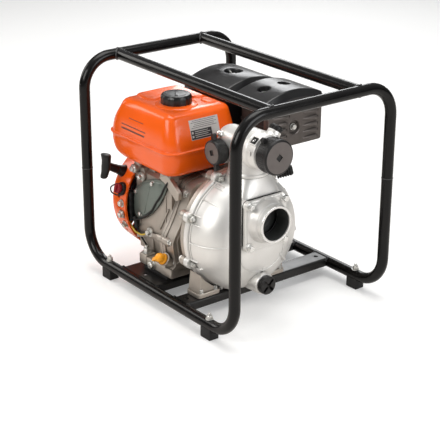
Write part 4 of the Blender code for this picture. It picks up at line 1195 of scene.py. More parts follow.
bent_rod("earth_lead",
         [SWITCH + Vector((8, 2, -4)), (-163, -144, 176), (-164.5, -144, 166),
          (-163, -144, 152), (-167, -144, 140), (-173, -143, 130), (-172, -143, 123),
          (-160, -143, 119.5), (-153.5, -143, 115), (-148, -142, 108), (-141, -141, 101.5),
          (-131, -139, 98.5), (-120, -138, 99), (-107, -137, 105), (-97, -137, 112)], 1.7,
         material="wire_yellow")
place("earth_lug", disc((-97, WALL_Y - 3.2, 111), (-97, WALL_Y - 4.6, 111), 7.0, 28, 0.3),
      "steel")

# ============================ fuel tank ======================================
TANK_LOW, TANK_HIGH = corners("fuel_tank")
CAP = middle("fuel_cap")
CAP_FOOT = (CAP.x, CAP.y, 0)
# inset at left, right, front and rear, corner radius, z
TANK_ROWS = [
    (52, 16, 14, 20, 20, 254.8), (44, 12.5, 11, 16, 24, 255.4), (36, 10, 9, 13, 26, 256.8),
    (28, 7.6, 7.2, 10, 28, 259), (22, 6, 6, 8, 28, 261.4), (16.5, 5, 5, 6.2, 28, 264.4),
    (12, 4.5, 4.5, 5, 28, 268), (9, 4, 4, 4.4, 28, 272), (7, 3.7, 3.7, 4, 28, 276.5),
    (5, 3.3, 3.3, 3.4, 28, 283), (4, 3, 3, 3, 28, 290), (3, 3, 3, 3, 28, 300.4),
    # seam
    (2.4, 2.4, 2.4, 2.4, 28.5, 301.1), (.8, .8, .8, .8, 30, 301.5),
    (0.15, 0.15, 0.15, 0.15, 30, 301.9), (0, 0, 0, 0, 30, 302.4), (0, 0, 0, 0, 30, 303.9),
    (0.15, 0.15, 0.15, 0.15, 30, 304.4), (.8, .8, .8, .8, 30, 304.8),
    (3.0, 3.0, 3.0, 3.0, 28.5, 305.1), (3.8, 3.8, 3.8, 3.8, 28, 305.9),
    # upper shell
    (4.3, 4.1, 4.0, 4.0, 28, 308), (5.4, 4.4, 4.1, 4.0, 27, 312.5), (7, 5, 4.2, 4.1, 26, 318),
    (10, 6.9, 4.9, 4.8, 25.6, 327), (14, 10, 6, 6, 25, 336), (18.6, 12.4, 7.8, 7.3, 23.6, 344),
    (24, 15, 10, 9, 22, 352), (28, 17.2, 11.6, 10, 21, 358.4), (31, 19, 13, 11, 20, 363),
    (32.4, 20, 14, 11.8, 19.5, 365.8), (34, 21.4, 15.5, 13.2, 18.6, 368.3),
    (36.4, 23.6, 17.8, 15.6, 17, 370.6), (39.6, 26.8, 21, 18.8, 15.4, 372.6),
    (43.6, 31, 25, 22.8, 13.6, 374), (48, 36, 30, 27.6, 12, 374.8), (54, 42, 36, 34, 10, 375.0)]
RIGHT, FRONT = 1, 2     # columns of TANK_ROWS


def tank_inset(z, column):
    """Inset of one tank side at a height."""
    for below, above in zip(TANK_ROWS[:-1], TANK_ROWS[1:]):
        if below[5] <= z <= above[5]:
            share = (z - below[5]) / (above[5] - below[5])
            return below[column] + (above[column] - below[column]) * share
    return TANK_ROWS[-1][column]


tank = [[Vector((x, y, z)) for x, y in rounded(TANK_LOW.x + left, TANK_HIGH.x - right,
                                               TANK_LOW.y + front, TANK_HIGH.y - rear,
                                               radius, 12)]
        for left, right, front, rear, radius, z in TANK_ROWS]
place("tank_shell", skin(tank), "orange", replaces="fuel_tank", angle=50)
place("tank_neck", turned([(374.5, 0), (374.5, 43), (376.4, 39.5), (378.0, 34), (378.6, 25.5),
                           (380.8, 24), (380.8, 0)], 1.4, 4, 96, CAP_FOOT, Z_AXIS), "orange",
      angle=50)


def tank_pressing(name, points, height, border):
    """Low raised panel on the tank top with sloping, rounded borders."""
    base = 374.8
    outline = smooth_loop(points, 6)
    rings = []
    for share, rise in ((0, -0.6), (0, 0.0), (0.25, 0.35 * height), (0.5, 0.68 * height),
                        (0.78, 0.93 * height), (1.0, height), (1.25, height * 1.02)):
        rings.append([Vector((x, y, base + rise)) for x, y in shrink(outline, border * share)])
    place(name, skin(rings), "orange", angle=50)


tank_pressing("tank_pressing_main",
              [(-176, -104), (-158, -112), (-136, -112), (-122, -100), (-124, -74), (-122, -40),
               (-108, -30), (-92, -28), (-84, -18), (-84, -6), (-104, -4), (-150, -4),
               (-174, -8), (-178, -30), (-178, -76)], height=3.2, border=4.0)
tank_pressing("tank_pressing_right",
              [(-66, -30), (-48, -28), (-42, -18), (-44, -6), (-58, -4), (-72, -8), (-74, -20)],
              height=2.6, border=3.4)


def tank_patch(name, column, start, end, z0, z1, lift, material):
    """Thin sheet lying on the sloping front or right side of the tank."""
    rings = []
    for k in range(11):
        z = z0 + (z1 - z0) * k / 10
        inset = tank_inset(z, column)
        if column == FRONT:
            y = TANK_LOW.y + inset
            rings.append([Vector((start, y - lift, z)), Vector((end, y - lift, z)),
                          Vector((end, y + 0.3, z)), Vector((start, y + 0.3, z))])
        else:
            x = TANK_HIGH.x - inset
            rings.append([Vector((x + lift, start, z)), Vector((x + lift, end, z)),
                          Vector((x - 0.3, end, z)), Vector((x - 0.3, start, z))])
    place(name, skin(rings), material)


for i, span in enumerate(((-164, -82, 326.6, 328.4), (-164, -85, 317.6, 320.8),
                          (-141, -92, 342.4, 343.6))):
    tank_patch(f"tank_stripe_{i}", FRONT, *span, 0.12, "decal")
tank_patch("rating_plate", RIGHT, -98, -29, 323, 360, 0.18, "label_light")
tank_patch("rating_plate_block", RIGHT, -97, -48, 324, 341, 0.34, "label_dark")
for i in range(5):
    z = 344.5 + i * 3.2
    tank_patch(f"rating_line_{i}", RIGHT, -94 + (i % 3) * 4, -34 - (i % 2) * 6, z, z + 0.8,
               0.32, "label_dark")
for i in range(4):
    z = 327.2 + i * 3.4
    tank_patch(f"rating_row_{i}", RIGHT, -88, -52 - (i % 2) * 5, z, z + 1.0, 0.46,
               "label_light")
for i in range(2):
    tank_patch(f"rating_spot_{i}", RIGHT, -95.2, -91.4, 327.4 + i * 7.0, 331.2 + i * 7.0, 0.46,
               "label_light")


def filler_cap():
    """Cap with sixteen ribs round its rim, a ridge across the top and a raised ring."""
    rings = [[Vector((CAP.x, CAP.y, 376.0))]]
    for z, radius in fillet([(376.0, 24.4), (376.0, 30.6), (391.5, 30.9), (396.6, 27.6),
                             (397.0, 0)], 2.4, 6):
        if radius <= 1e-6:
            rings.append([Vector((CAP.x, CAP.y, z))])
            continue
        depth = 1.25 if 376.5 < z < 394 else (0.5 if z < 395.5 and radius > 28 else 0.0)
        points = []
        for angle in full_turn(160):
            wave = max(-0.55, cos(angle * 16))
            reach = radius
            if radius > 25:
                reach = radius - depth * 0.5 + depth * 0.5 * wave
            points.append(Vector((CAP.x + reach * cos(angle), CAP.y + reach * sin(angle), z)))
        rings.append(points)
    place("filler_cap", skin(rings), "black_satin", "tank_cap", replaces="fuel_cap", angle=32)
    axes = ((0.8, -0.6, 0), (0.6, 0.8, 0), Z_AXIS)
    place("filler_cap_ridge", oriented_box((CAP.x, CAP.y, 396.6), axes, (34, 6.0, 1.6), 0.7, 3),
          "black_satin", "tank_cap")
    place("filler_cap_ring", turned([(396.2, 19.5), (397.2, 19.5), (397.2, 21.2), (396.2, 21.2)],
                                    0.3, 2, 72, CAP_FOOT, Z_AXIS, closed=True),
          "black_satin", "tank_cap")


filler_cap()

# ============================ intake side ====================================
STUD = joint_at("wing_nut_turn")
STUD_FOOT = (STUD.x, STUD.y, 0)
CARB_X, CARB_Y = -156, 122


def arched(x0, x1, y0, y1, z_low, z_edge, z_crown, inset):
    """Cover arched across Y, with a sloping end face at each end in X."""
    middle_y, half = (y0 + y1) / 2, (y1 - y0) / 2
    # distance from the end, drop below the full arch
    slope = ((0, 15.0), (0.8, 13.4), (inset - 1.0, 1.4), (inset, 0.5), (inset + 1.4, 0.0))
    rows = [(x0 + step, drop) for step, drop in slope]
    rows += [(x1 - step, drop) for step, drop in slope[::-1]]
    rings = []
    for x, drop in rows:
        shoulder = z_edge - 1.0 - drop
        points = [(y0, z_low), (y0, shoulder)]
        for k in range(37):
            s = -1 + 2.0 * k / 36
            points.append((middle_y + half * s * 0.985,
                           z_edge + (z_crown - z_edge) * (1 - s * s) - drop))
        points += [(y1, shoulder), (y1, z_low)]
        rings.append([Vector((x, y, z)) for y, z in points])
    return skin(rings)


def air_cleaner():
    """Hollow arched cover with a dished stud well, tray with its pipe, and the stud."""
    low, high = corners("air_cleaner_cover")
    cover = cut(arched(low.x, high.x, low.y, high.y, low.z, 386, high.z, 9),
                arched(low.x + 3, high.x - 3, low.y + 3, high.y - 3, low.z - 8, 381.5,
                       high.z - 4, 8))
    cover = union(cover, rod((STUD.x, STUD.y, 386), (STUD.x, STUD.y, high.z - 2.0), 21, 48))
    well = turned([(389, 0), (389, 16.6), (401, 18.6), (412, 24), (412, 0)], 2.0, 4, 56,
                  STUD_FOOT, Z_AXIS)
    cover = cut(cover, well, rod((STUD.x, STUD.y, 380), (STUD.x, STUD.y, 395), 4.2, 24))
    place("air_cover_moulding", cover, "cover", "air_cover", replaces="air_cleaner_cover",
          angle=28, bevel=1.1, segments=3)
    tray = cut(slab_round(rounded(-178, -52, 24, 158, 14), 'Z', 292, 320.2, 4, 4),
               slab(rounded(-173, -57, 29, 153, 10), 'Z', 297, 330))
    tray = union(tray, rod((CARB_X, CARB_Y, 270.4), (CARB_X, CARB_Y, 295), 19, 40))
    tray = cut(tray, rod((CARB_X, CARB_Y, 262), (CARB_X, CARB_Y, 310), 14, 32))
    place("air_cleaner_tray", tray, "black", replaces="air_cleaner_base", bevel=0.8)
    place("air_cleaner_stud", rod((STUD.x, STUD.y, 292), (STUD.x, STUD.y, 391.6), 2.9, 24),
          "steel")


air_cleaner()
keep_cad("air_filter_element", "foam", bevel=1.2)
keep_cad("carburettor", "cast", bevel=1.0)
place("carburettor_bowl", turned([(206.5, 0), (206.5, 12), (209, 15.6), (226, 16.2), (228, 18),
                                  (230, 18), (230, 0)], 1.2, 3, 48, (CARB_X, CARB_Y, 0), Z_AXIS),
      "cast")
for k in range(4):
    angle = radians(45 + 90 * k)
    bolt(f"carburettor_screw_{k}",
         (CARB_X + 13.6 * cos(angle), CARB_Y + 20.604 * sin(angle), 261.8), Z_AXIS, 6, 3,
         screw=True)
keep_cad("choke_lever", "black", bevel=0.8)
keep_cad("fuel_cock_lever", "black", bevel=0.8)
keep_cad("throttle_lever", "black", bevel=0.6)
for body in ("choke", "fuel_cock"):
    pivot = joint_at(body + "_turn")
    bolt(f"screw_{body}_lever", (pivot.x, 153.0, pivot.z), Y_AXIS, 8, 3, body=body, screw=True)
pivot = joint_at("throttle_turn")
bolt("screw_throttle", (pivot.x, pivot.y, 266.0), Z_AXIS, 8, 3.2, body="throttle", flange=True)

# wing nut: (distance from the stud, z) of a wing
WING = [(4.5, 391), (5.0, 395.8), (8.0, 399.8), (11.8, 401), (13.2, 399.6), (11.8, 396),
        (8.6, 392)]
nut = turned([(389.4, 3.2), (389.4, 8), (396.4, 7), (397, 6.4), (397, 3.2)], 0.6, 3, 36,
             STUD_FOOT, Z_AXIS, closed=True)
wings = [slab([(STUD.x + side * x, z) for x, z in WING], 'Y', STUD.y - 1.7, STUD.y + 1.7)
         for side in (-1, 1)]
place("wing_nut", join(nut, *wings), "steel", "air_nut", replaces="air_cleaner_wing_nut",
      bevel=0.6)

# ============================ exhaust side ===================================
place("muffler_drum", slab_round(rounded(-30, 66, 34, 158, 22), 'Z', 300, 374, 7, 5), "muffler",
      replaces="muffler")
place("muffler_seam", slab(rounded(-32, 68, 32, 160, 23), 'Z', 336, 339), "muffler", bevel=0.9)
bent_rod("exhaust_elbow", [(-20, 124, 312), (-34, 124, 306), (-42, 126, 294), (-43, 128, 282)],
         13, sides=28, material="iron")
place("exhaust_flange", slab_round(rounded(-62, -24, 106, 150, 9, 6), 'Z', 280, 286, 1.2),
      "iron")
for i, (x, y) in enumerate(((-56, 128), (-30, 144))):
    bolt(f"exhaust_nut_{i}", (x, y, 286), Z_AXIS, 10, 7, material="iron", turn=i)

SHIELD_X = 72.0
DISH = Vector((0, 95, 331.8))
# y where the hood starts, y where it opens, z
LOUVRES = [(116, 152.5, 356.2), (116, 152.5, 343.2), (116, 152.5, 329.6), (116, 152.5, 316.4),
           (116, 152.5, 303.4), (42, 79, 356.2), (42, 73, 343.2), (42, 73, 329.8),
           (42, 73, 316.4)]


def louvre_hood(start, end, z):
    """Half-round hood that widens towards its opening."""
    rings = []
    for k in range(13):
        share = k / 12
        y = start + (end - 1.0 - start) * share
        height = 4.6 * sin(pi / 2 * min(1.0, share * 1.35)) ** 0.8
        half = 1.8 + 3.2 * sin(pi / 2 * min(1.0, share * 1.6))
        rings.append([Vector((SHIELD_X - 0.25 + height * sin(angle), y, z - half * cos(angle)))
                      for angle in (pi * i / 10 for i in range(11))])
    return skin(rings)


def heat_shield():
    cutters = [lathe([(60, 15.4), (80, 15.4)], 48, DISH)]
    cutters += [box(66, 80, end - 2.0, end + 4.2, z - 2.6, z + 2.0) for _, end, z in LOUVRES]
    plate = slab(rounded(29, 165, 295, 376, 5, 5), 'X', 69.2, SHIELD_X)
    place("shield_plate", cut(plate, *cutters), "shield", replaces="muffler_shield", angle=30,
          bevel=0.7)
    place("shield_louvres", join(*[louvre_hood(*row) for row in LOUVRES]), "shield")
    dish = turned([(72.3, 17.6), (72.7, 16.0), (71.6, 13.6), (66.9, 11.8), (66.6, 0), (65.6, 0),
                   (65.6, 12.6), (69.0, 16.2), (69.2, 17.6)], 0.8, 3, 56, DISH, closed=True)
    place("shield_dish", dish, "shield", angle=40)
    bolt("shield_screw", (66.6, DISH.y, DISH.z), X_AXIS, 10, 4.4, washer=7.0, turn=0.3)
    place("shield_rim_top", slab(rounded(29, 165, 371.5, 376, 2, 3), 'X', 60, 70.2), "shield",
          bevel=0.6)
    for i, y in enumerate((29.0, 162.6)):
        place(f"shield_rim_{i}", box(58, 70.2, y, y + 2.4, 300, 374, 0.6), "shield")


heat_shield()

TOP_LOW, TOP_HIGH = corners("muffler_top_cover")
RECESSES = ((19.0, 61.0), (20.0, 111.0))    # (x, y)


def cover_height(x, y):
    """Muffler cover top: arched across Y, sloping at both ends, two round screw recesses."""
    across = (y - (TOP_LOW.y + TOP_HIGH.y) / 2) / ((TOP_HIGH.y - TOP_LOW.y) / 2)
    z = 391 + (TOP_HIGH.z - 391) * (1 - across * across)
    end = min(x - TOP_LOW.x, TOP_HIGH.x - x) / 8.5
    if end < 1.0:
        z -= 14.5 * (1 - end) + 0.5 * (1 - end) * end * 4
    elif end < 1.25:
        z -= 0.45 * (1.25 - end) / 0.25
    edge = min(y - TOP_LOW.y, TOP_HIGH.y - y)
    if edge < 1.6:
        z -= 1.4 * (1 - edge / 1.6) ** 2
    for recess_x, recess_y in RECESSES:
        distance = hypot(x - recess_x, y - recess_y)
        blend = min(1.0, max(0.0, (distance - 11.4) / 1.5))
        blend = blend * blend * (3 - 2 * blend)
        z = z * blend + min(z, 389.4) * (1 - blend)
        if 12.9 < distance < 15.5:
            z -= 0.5 * (1 - (distance - 12.9) / 2.6) ** 2
    return z


def muffler_cover():
    """Height field closed by side walls and a flat bottom."""
    bm = bmesh.new()
    nx, ny = 96, 150
    grid = []
    for i in range(nx + 1):
        x = TOP_LOW.x + (TOP_HIGH.x - TOP_LOW.x) * i / nx
        ys = [TOP_LOW.y + (TOP_HIGH.y - TOP_LOW.y) * j / ny for j in range(ny + 1)]
        grid.append([bm.verts.new((x, y, cover_height(x, y))) for y in ys])
    for i in range(nx):
        for j in range(ny):
            bm.faces.new((grid[i][j], grid[i + 1][j], grid[i + 1][j + 1], grid[i][j + 1]))
    border = [grid[i][0] for i in range(nx + 1)]
    border += [grid[nx][j] for j in range(1, ny + 1)]
    border += [grid[i][ny] for i in range(nx - 1, -1, -1)]
    border += [grid[0][j] for j in range(ny - 1, 0, -1)]
    bottom = [bm.verts.new((vert.co.x, vert.co.y, TOP_LOW.z)) for vert in border]
    for i in range(len(border)):
        j = (i + 1) % len(border)
        bm.faces.new((border[j], border[i], bottom[i], bottom[j]))
    bm.faces.new(bottom[::-1])
    bmesh.ops.recalc_face_normals(bm, faces=bm.faces)
    return bm


place("muffler_cover_moulding", muffler_cover(), "cover", replaces="muffler_top_cover",
      angle=32)
for i, (x, y) in enumerate(RECESSES):
    bolt(f"muffler_cover_screw_{i}", (x, y, 389.5), Z_AXIS, 10, 4.6, washer=6.6, turn=0.4)

# spark plug and its ribbed boot
keep_cad("spark_plug", "steel", bevel=0.3)
boot = [(6.2, 5.8), (6.2, 12.2)]
for k in range(5):
    along = 8 + k * 5.4
    boot += [(along + 0.6, 12.2), (along + 1.4, 10.4), (along + 3.4, 10.4), (along + 4.2, 12.0)]
boot += [(36, 11.6), (40.5, 9.0), (41, 0), (33, 0), (33, 5.8)]
place("plug_boot_ribbed", turned(boot, 0.7, 2, 48, PLUG_SEAT, PLUG_AXIS, closed=True), "rubber",
      "plug_boot", replaces="spark_plug_cap", angle=40)

# ============================ pump ===========================================
LUGS = [22.5 + 45 * k for k in range(8)]
LUG_R = 121.0
FLANGE_X = corners("pump_casing")[0].x      # back face of the casing flange
FACE_X = 149.0                              # flat right face of the casing
PORT_Z = joint_at("flap_swing").z - 36.0
PORT_LINE = (0, CRANK_Y, PORT_Z)
DRAIN_Z = middle("drain_plug").z
NECK_X = 104.0
# (x, radius) of the casing
DOME = [(71, 117.6), (84, 117.4), (94, 116.6), (102, 114.6), (110, 111.4), (118, 107.2),
        (126, 101.0), (133, 93.6), (139, 85.4), (144, 76), (147, 67.5), (148.6, 60),
        (FACE_X, 52)]


def under_pump():
    """Room for the cross member."""
    return CRANK_Y - 95, CRANK_Y + 95, 0, 37.5


def bearer():
    """Ring between engine and pump, on two legs bolted to the cross member."""
    body = turned([(16.3, 14), (16.3, 72), (24, 74), (42, 84), (48, 100), (48, 120),
                   (58.6, 120), (58.6, 14)], 1.6, 3, 96, closed=True)
    ears = [rod(at_crank(a, LUG_R, 48), at_crank(a, LUG_R, 58.8), 10.5, 32) for a in LUGS]
    legs = []
    for side in (-1, 1):
        centre = CRANK_Y + side * 81.0
        low, high = centre - 24, centre + 24
        leg = slab([(low, 37.4), (low + 6, 84), (high - 4, 84), (high, 37.4)], 'X', 52, 86)
        room = LUG_R + 0.8
        legs.append(cut(leg, lathe([(59, room), (100, room), (100, 0), (59, 0)], 96),
                        *[rod(at_crank(a, LUG_R, 59), at_crank(a, LUG_R, 100), 11.5, 24)
                          for a in LUGS]))
    body = cut(union(body, *ears, *legs), box(24, 110, *under_pump()))
    place("pump_bearer", body, "cast", replaces="pump_bracket", angle=30, bevel=1.2, segments=3)
    for k in range(12):
        angle = 30 * k + 7
        if 200 < angle < 340:
            continue
        offset = X_AXIS.cross(radial(angle)) * 2.0
        points = [at_crank(angle, radius, x)
                  for radius, x in ((72, 17.5), (72, 47.5), (112, 47.5), (84, 30))]
        place(f"bearer_rib_{k}", skin([[p + offset for p in points],
                                       [p - offset for p in points]]), "cast", bevel=0.5)
    for side in (-1, 1):
        y = CRANK_Y + side * 81
        place(f"bearer_toe_{side > 0:d}",
              slab_round(rounded(50, 90, y - 27, y + 27, 6, 5), 'Z', 37.4, 47, 1.6), "cast")
        for shift in (-17, 17):
            bolt(f"bearer_bolt_{side > 0:d}_{shift > 0:d}", (84.5, y + shift, 47), Z_AXIS, 8,
                 5.0, washer=5.4, turn=0.2 * shift)


bearer()


def port_square(half, corner):
    """Rounded square round the suction cover's centre, (y, z)."""
    centre = PORT_Z - 5
    return rounded(CRANK_Y - half, CRANK_Y + half, centre - half, centre + half, corner)


def pad_outline(half, depth, top, step):
    """U shape of the lower pad, (y, z)."""
    curve = [(CRANK_Y - half * cos(radians(a)), 132 - depth * sin(radians(a)))
             for a in range(0, 181, step)]
    return [(CRANK_Y - half, top)] + curve + [(CRANK_Y + half, top)]


def neck_flare():
    """Blend from a rounded square below to the round neck above."""
    square, circle = [], []
    for angle in full_turn(72):
        c, s = cos(angle), sin(angle)
        reach = (abs(c) ** 5 + abs(s) ** 5) ** (-1 / 5)
        square.append((NECK_X + 3 + c * reach * 41.0, CRANK_Y + s * reach * 49.0))
        circle.append((NECK_X + 38 * c, CRANK_Y + 38 * s))
    # z, share of the circle
    rows = [(200, 0), (241, 0.0), (246, 0.06), (254, 0.24), (264, 0.50), (274, 0.76),
            (279.0, 0.76 + 0.17 * 5 / 9)]
    return skin([[Vector((a[0] * (1 - share) + b[0] * share,
                          a[1] * (1 - share) + b[1] * share, z))
                  for a, b in zip(square, circle)] for z, share in rows])


def pump_casing():
    """Domed shell with flange lugs, port seat, lower pad, neck and drain boss."""
    flange = fillet([(FLANGE_X, 0), (FLANGE_X, LUG_R), (70, LUG_R), (71, 119.0),
                     (72.5, 117.6)], 1.2, 3)[1:-1]
    shell = lathe([(FLANGE_X, 0)] + flange + DOME + [(FACE_X, 0)], 144)
    lugs = []
    for angle in LUGS:
        lugs.append(turned([(FLANGE_X, 0), (FLANGE_X, 10.6), (72, 10.6), (72, 0)], 0.8, 2, 40,
                           at_crank(angle, LUG_R)))
        lugs.append(radial_box(at_crank(angle, LUG_R - 7, (FLANGE_X + 73) / 2), angle,
                               (72.8 - FLANGE_X, 16, 17), 2.0))
    shell = union(shell, *lugs)
    drain_boss = turned([(104, 0), (104, 24), (150, 22), (158, 21), (158, 0)], 1.6, 4, 64,
                        (0, CRANK_Y, DRAIN_Z))
    shell = union(shell, slab_round(port_square(50, 12), 'X', 100, FACE_X, 1.6),
                  slab_round(pad_outline(53, 41, 166, 8), 'X', 100, FACE_X + 0.2, 2.2),
                  neck_flare(), drain_boss)
    hollow = lathe([(48, 0), (48, 108), (88, 110), (104, 108), (120, 98), (132, 86), (140, 70),
                    (143, 56), (143, 0)], 72)
    shell = cut(shell, hollow, rod((NECK_X, CRANK_Y, 190), (NECK_X, CRANK_Y, 290), 31, 48),
                rod((108, CRANK_Y, PORT_Z), (168, CRANK_Y, PORT_Z), 40, 64),
                rod((98, CRANK_Y, DRAIN_Z), (168, CRANK_Y, DRAIN_Z), 14.5, 40),
                box(28, 108, *under_pump()))
    place("casing_shell", shell, "alu", replaces="pump_casing", angle=26, bevel=0.9, segments=3)


pump_casing()
place("casing_lip", turned([(74.5, 117.0), (74.5, 119.2), (77.2, 119.2), (77.2, 117.0)],
                           0.7, 3, 144, closed=True), "alu")
place("casing_joint", lathe([(58.75, 100), (58.75, 119.6), (59.25, 119.6), (59.25, 100)], 96,
                            closed=True), "rubber")


def dome_radius(x):
    for (x0, r0), (x1, r1) in zip(DOME[:-1], DOME[1:]):
        if x0 <= x <= x1:
            return r0 + (r1 - r0) * (x - x0) / (x1 - x0)
    return DOME[0][1] if x < DOME[0][0] else DOME[-1][1]


def dome_rib(name, angle, x0, x1, width, height, shift=0.0):
    """Rib along a meridian of the dome; shift moves it sideways, parallel to that meridian."""
    out = radial(angle)
    side = X_AXIS.cross(out)
    steps = 26
    rings = []
    for k in range(steps + 1):
        x = x0 + (x1 - x0) * k / steps
        radius = sqrt(max(1.0, dome_radius(x) ** 2 - shift * shift))
        foot = Vector((x, CRANK_Y, CRANK_Z)) + out * radius + side * shift
        slope = dome_radius(min(x + 0.5, FACE_X)) - dome_radius(max(x - 0.5, 71.0))
        normal = (out - X_AXIS * slope).normalized()
        rise = height * min(1.0, (steps - k) / (steps * 0.22), (k + 1) / 3.0)
        half = width * (0.55 + 0.45 * min(1.0, rise / height)) * 0.5
        # section: share of the half width, share of the rise (or depth below the surface)
        rings.append([foot + side * (a * half) + normal * (b * rise if b > 0 else b)
                      for a, b in ((-1.0, -1.2), (-0.92, 0.45), (-0.5, 0.92), (0, 1.0),
                                   (0.5, 0.92), (0.92, 0.45), (1.0, -1.2))])
    place(name, skin(rings), "alu", angle=50)


for i, angle in enumerate(LUGS):
    dome_rib(f"lug_rib_{i}_0", angle, 71, 95, width=2.8, height=3.4, shift=-8.6)
    dome_rib(f"lug_rib_{i}_1", angle, 71, 100, width=2.8, height=3.4, shift=8.6)
for i, (angle, x_end) in enumerate(((137, 116), (121, 106), (180, 146), (246, 128), (292, 128),
                                    (338, 128), (12, 112), (52, 112))):
    dome_rib(f"dome_rib_{i}", angle, 74, x_end, width=2.6, height=2.4)
place("pad_edge", sweep([(FACE_X + 0.1, y, z) for y, z in pad_outline(52.4, 40.4, 150, 6)],
                        1.15, 10), "alu", angle=60)
place("casing_lug_right", disc(at_crank(-9, 106, 108), at_crank(-9, 116.5, 108), 5.2, 28, 1.0),
      "alu")
place("pad_rib_low_right",
      oriented_box((FACE_X - 4.5, CRANK_Y + 49, 106),
                   ((0.92, 0.30, 0.25), (0, 0.62, -0.78), (-0.25, 0.78, 0.62)),
                   (12, 24, 2.8), 0.8), "alu")
place("pad_rib_bottom", oriented_box((FACE_X - 1.0, CRANK_Y + 3, 92), (X_AXIS, Z_AXIS, Y_AXIS),
                                     (4.6, 12, 2.4), 0.7), "alu")
for i, angle in enumerate(LUGS):
    seat = at_crank(angle, LUG_R, 72)
    bolt(f"casing_bolt_{i}", seat, X_AXIS, 12, 7.0, washer=9.4, turn=0.25 + i * 0.5)
    stud_end(f"casing_bolt_end_{i}", seat, X_AXIS, start=9.4, shoulder=11.8, tip=12.8,
             radius=3.6, tip_radius=2.6, edge=0.3)
    bolt(f"bearer_nut_{i}", at_crank(angle, LUG_R, 48), -X_AXIS, 12, 6.0, washer=9.2,
         turn=0.45 + i * 0.5)

keep_cad("inner_volute", "iron", bevel=0.8)
keep_cad("impeller", "iron", bevel=0.6)
keep_cad("mechanical_seal", "black", bevel=0.4)


def suction_cover():
    """Square cover with its joint, round port, lining, machined lip and corner bolts."""
    joint = cut(slab(port_square(51.4, 13), 'X', FACE_X + 0.25, 151.05),
                rod((128, CRANK_Y, PORT_Z), (168, CRANK_Y, PORT_Z), 39, 64))
    place("suction_joint", joint, "rubber", replaces="suction_gasket", bevel=0.3)
    port = turned([(154, 0), (154, 47), (159.5, 45), (163, 42.5), (168, 41.0), (176, 39.6),
                   (178, 37.2), (188.9, 37.0), (188.9, 0)], 1.6, 4, 128, PORT_LINE)
    bolts = [(CRANK_Y + side_y * 41.5, PORT_Z - 5 + side_z * 41.5)
             for side_y in (-1, 1) for side_z in (-1, 1)]
    bosses = [turned([(151.4, 0), (151.4, 9.4), (160.6, 9.4), (160.6, 0)], 0.9, 3, 40, (0, y, z))
              for y, z in bolts]
    cover = union(slab_round(port_square(50, 12), 'X', 151.1, 158.4, 1.3),
                  slab_round(port_square(45.5, 15), 'X', 156, 159.6, 1.0), port, *bosses)
    cover = cut(cover, rod((128, CRANK_Y, PORT_Z), (208, CRANK_Y, PORT_Z), 32.0, 128))
    place("suction_cover_casting", cover, "alu", replaces="suction_cover", angle=26, bevel=0.7,
          segments=3)
    place("suction_bore_lining", lathe([(152.5, 32.2), (186.4, 32.2), (186.4, 31.3),
                                        (152.5, 31.3)], 96, PORT_LINE, closed=True), "flap",
          angle=40)
    place("suction_lip", turned([(186.6, 32.3), (189.0, 32.8), (189.0, 36.6), (186.6, 37.05)],
                                0.5, 3, 128, PORT_LINE, closed=True), "alu_turned")
    for i, (y, z) in enumerate(bolts):
        bolt(f"suction_bolt_{i}", (160.6, y, z), X_AXIS, 12, 6.4, material="steel_bright",
             washer=9.0, turn=0.35 + i)


suction_cover()
low, high = corners("flap_valve")
flap = union(turned([(low.x, 0), (low.x, 34.4), (high.x - 0.2, 34.4), (high.x, 33),
                     (high.x, 22), (high.x - 1.0, 20), (high.x - 1.0, 0)], 0.5, 3, 96,
                    PORT_LINE),
             box(low.x + 0.4, high.x - 0.3, CRANK_Y - 13, CRANK_Y + 13, PORT_Z + 30, high.z, 0.8))
place("flap_disc", flap, "flap", "flap", replaces="flap_valve", bevel=0.3)

# ============================ discharge manifold =============================
MANIFOLD_Z = 332.0
MANIFOLD_LINE = Vector((0, CRANK_Y, MANIFOLD_Z))
NECK_TOP = 279.3
NECK_FOOT = (NECK_X, CRANK_Y, NECK_TOP)
SIDE_X, SIDE_Z = 58.0, 315.0        # centre line of the front and rear outlets
FILLER_AXIS = joint_axis("filler_plug_turn")
FILLER_FOOT = joint_at("filler_plug_turn") - FILLER_AXIS * 44


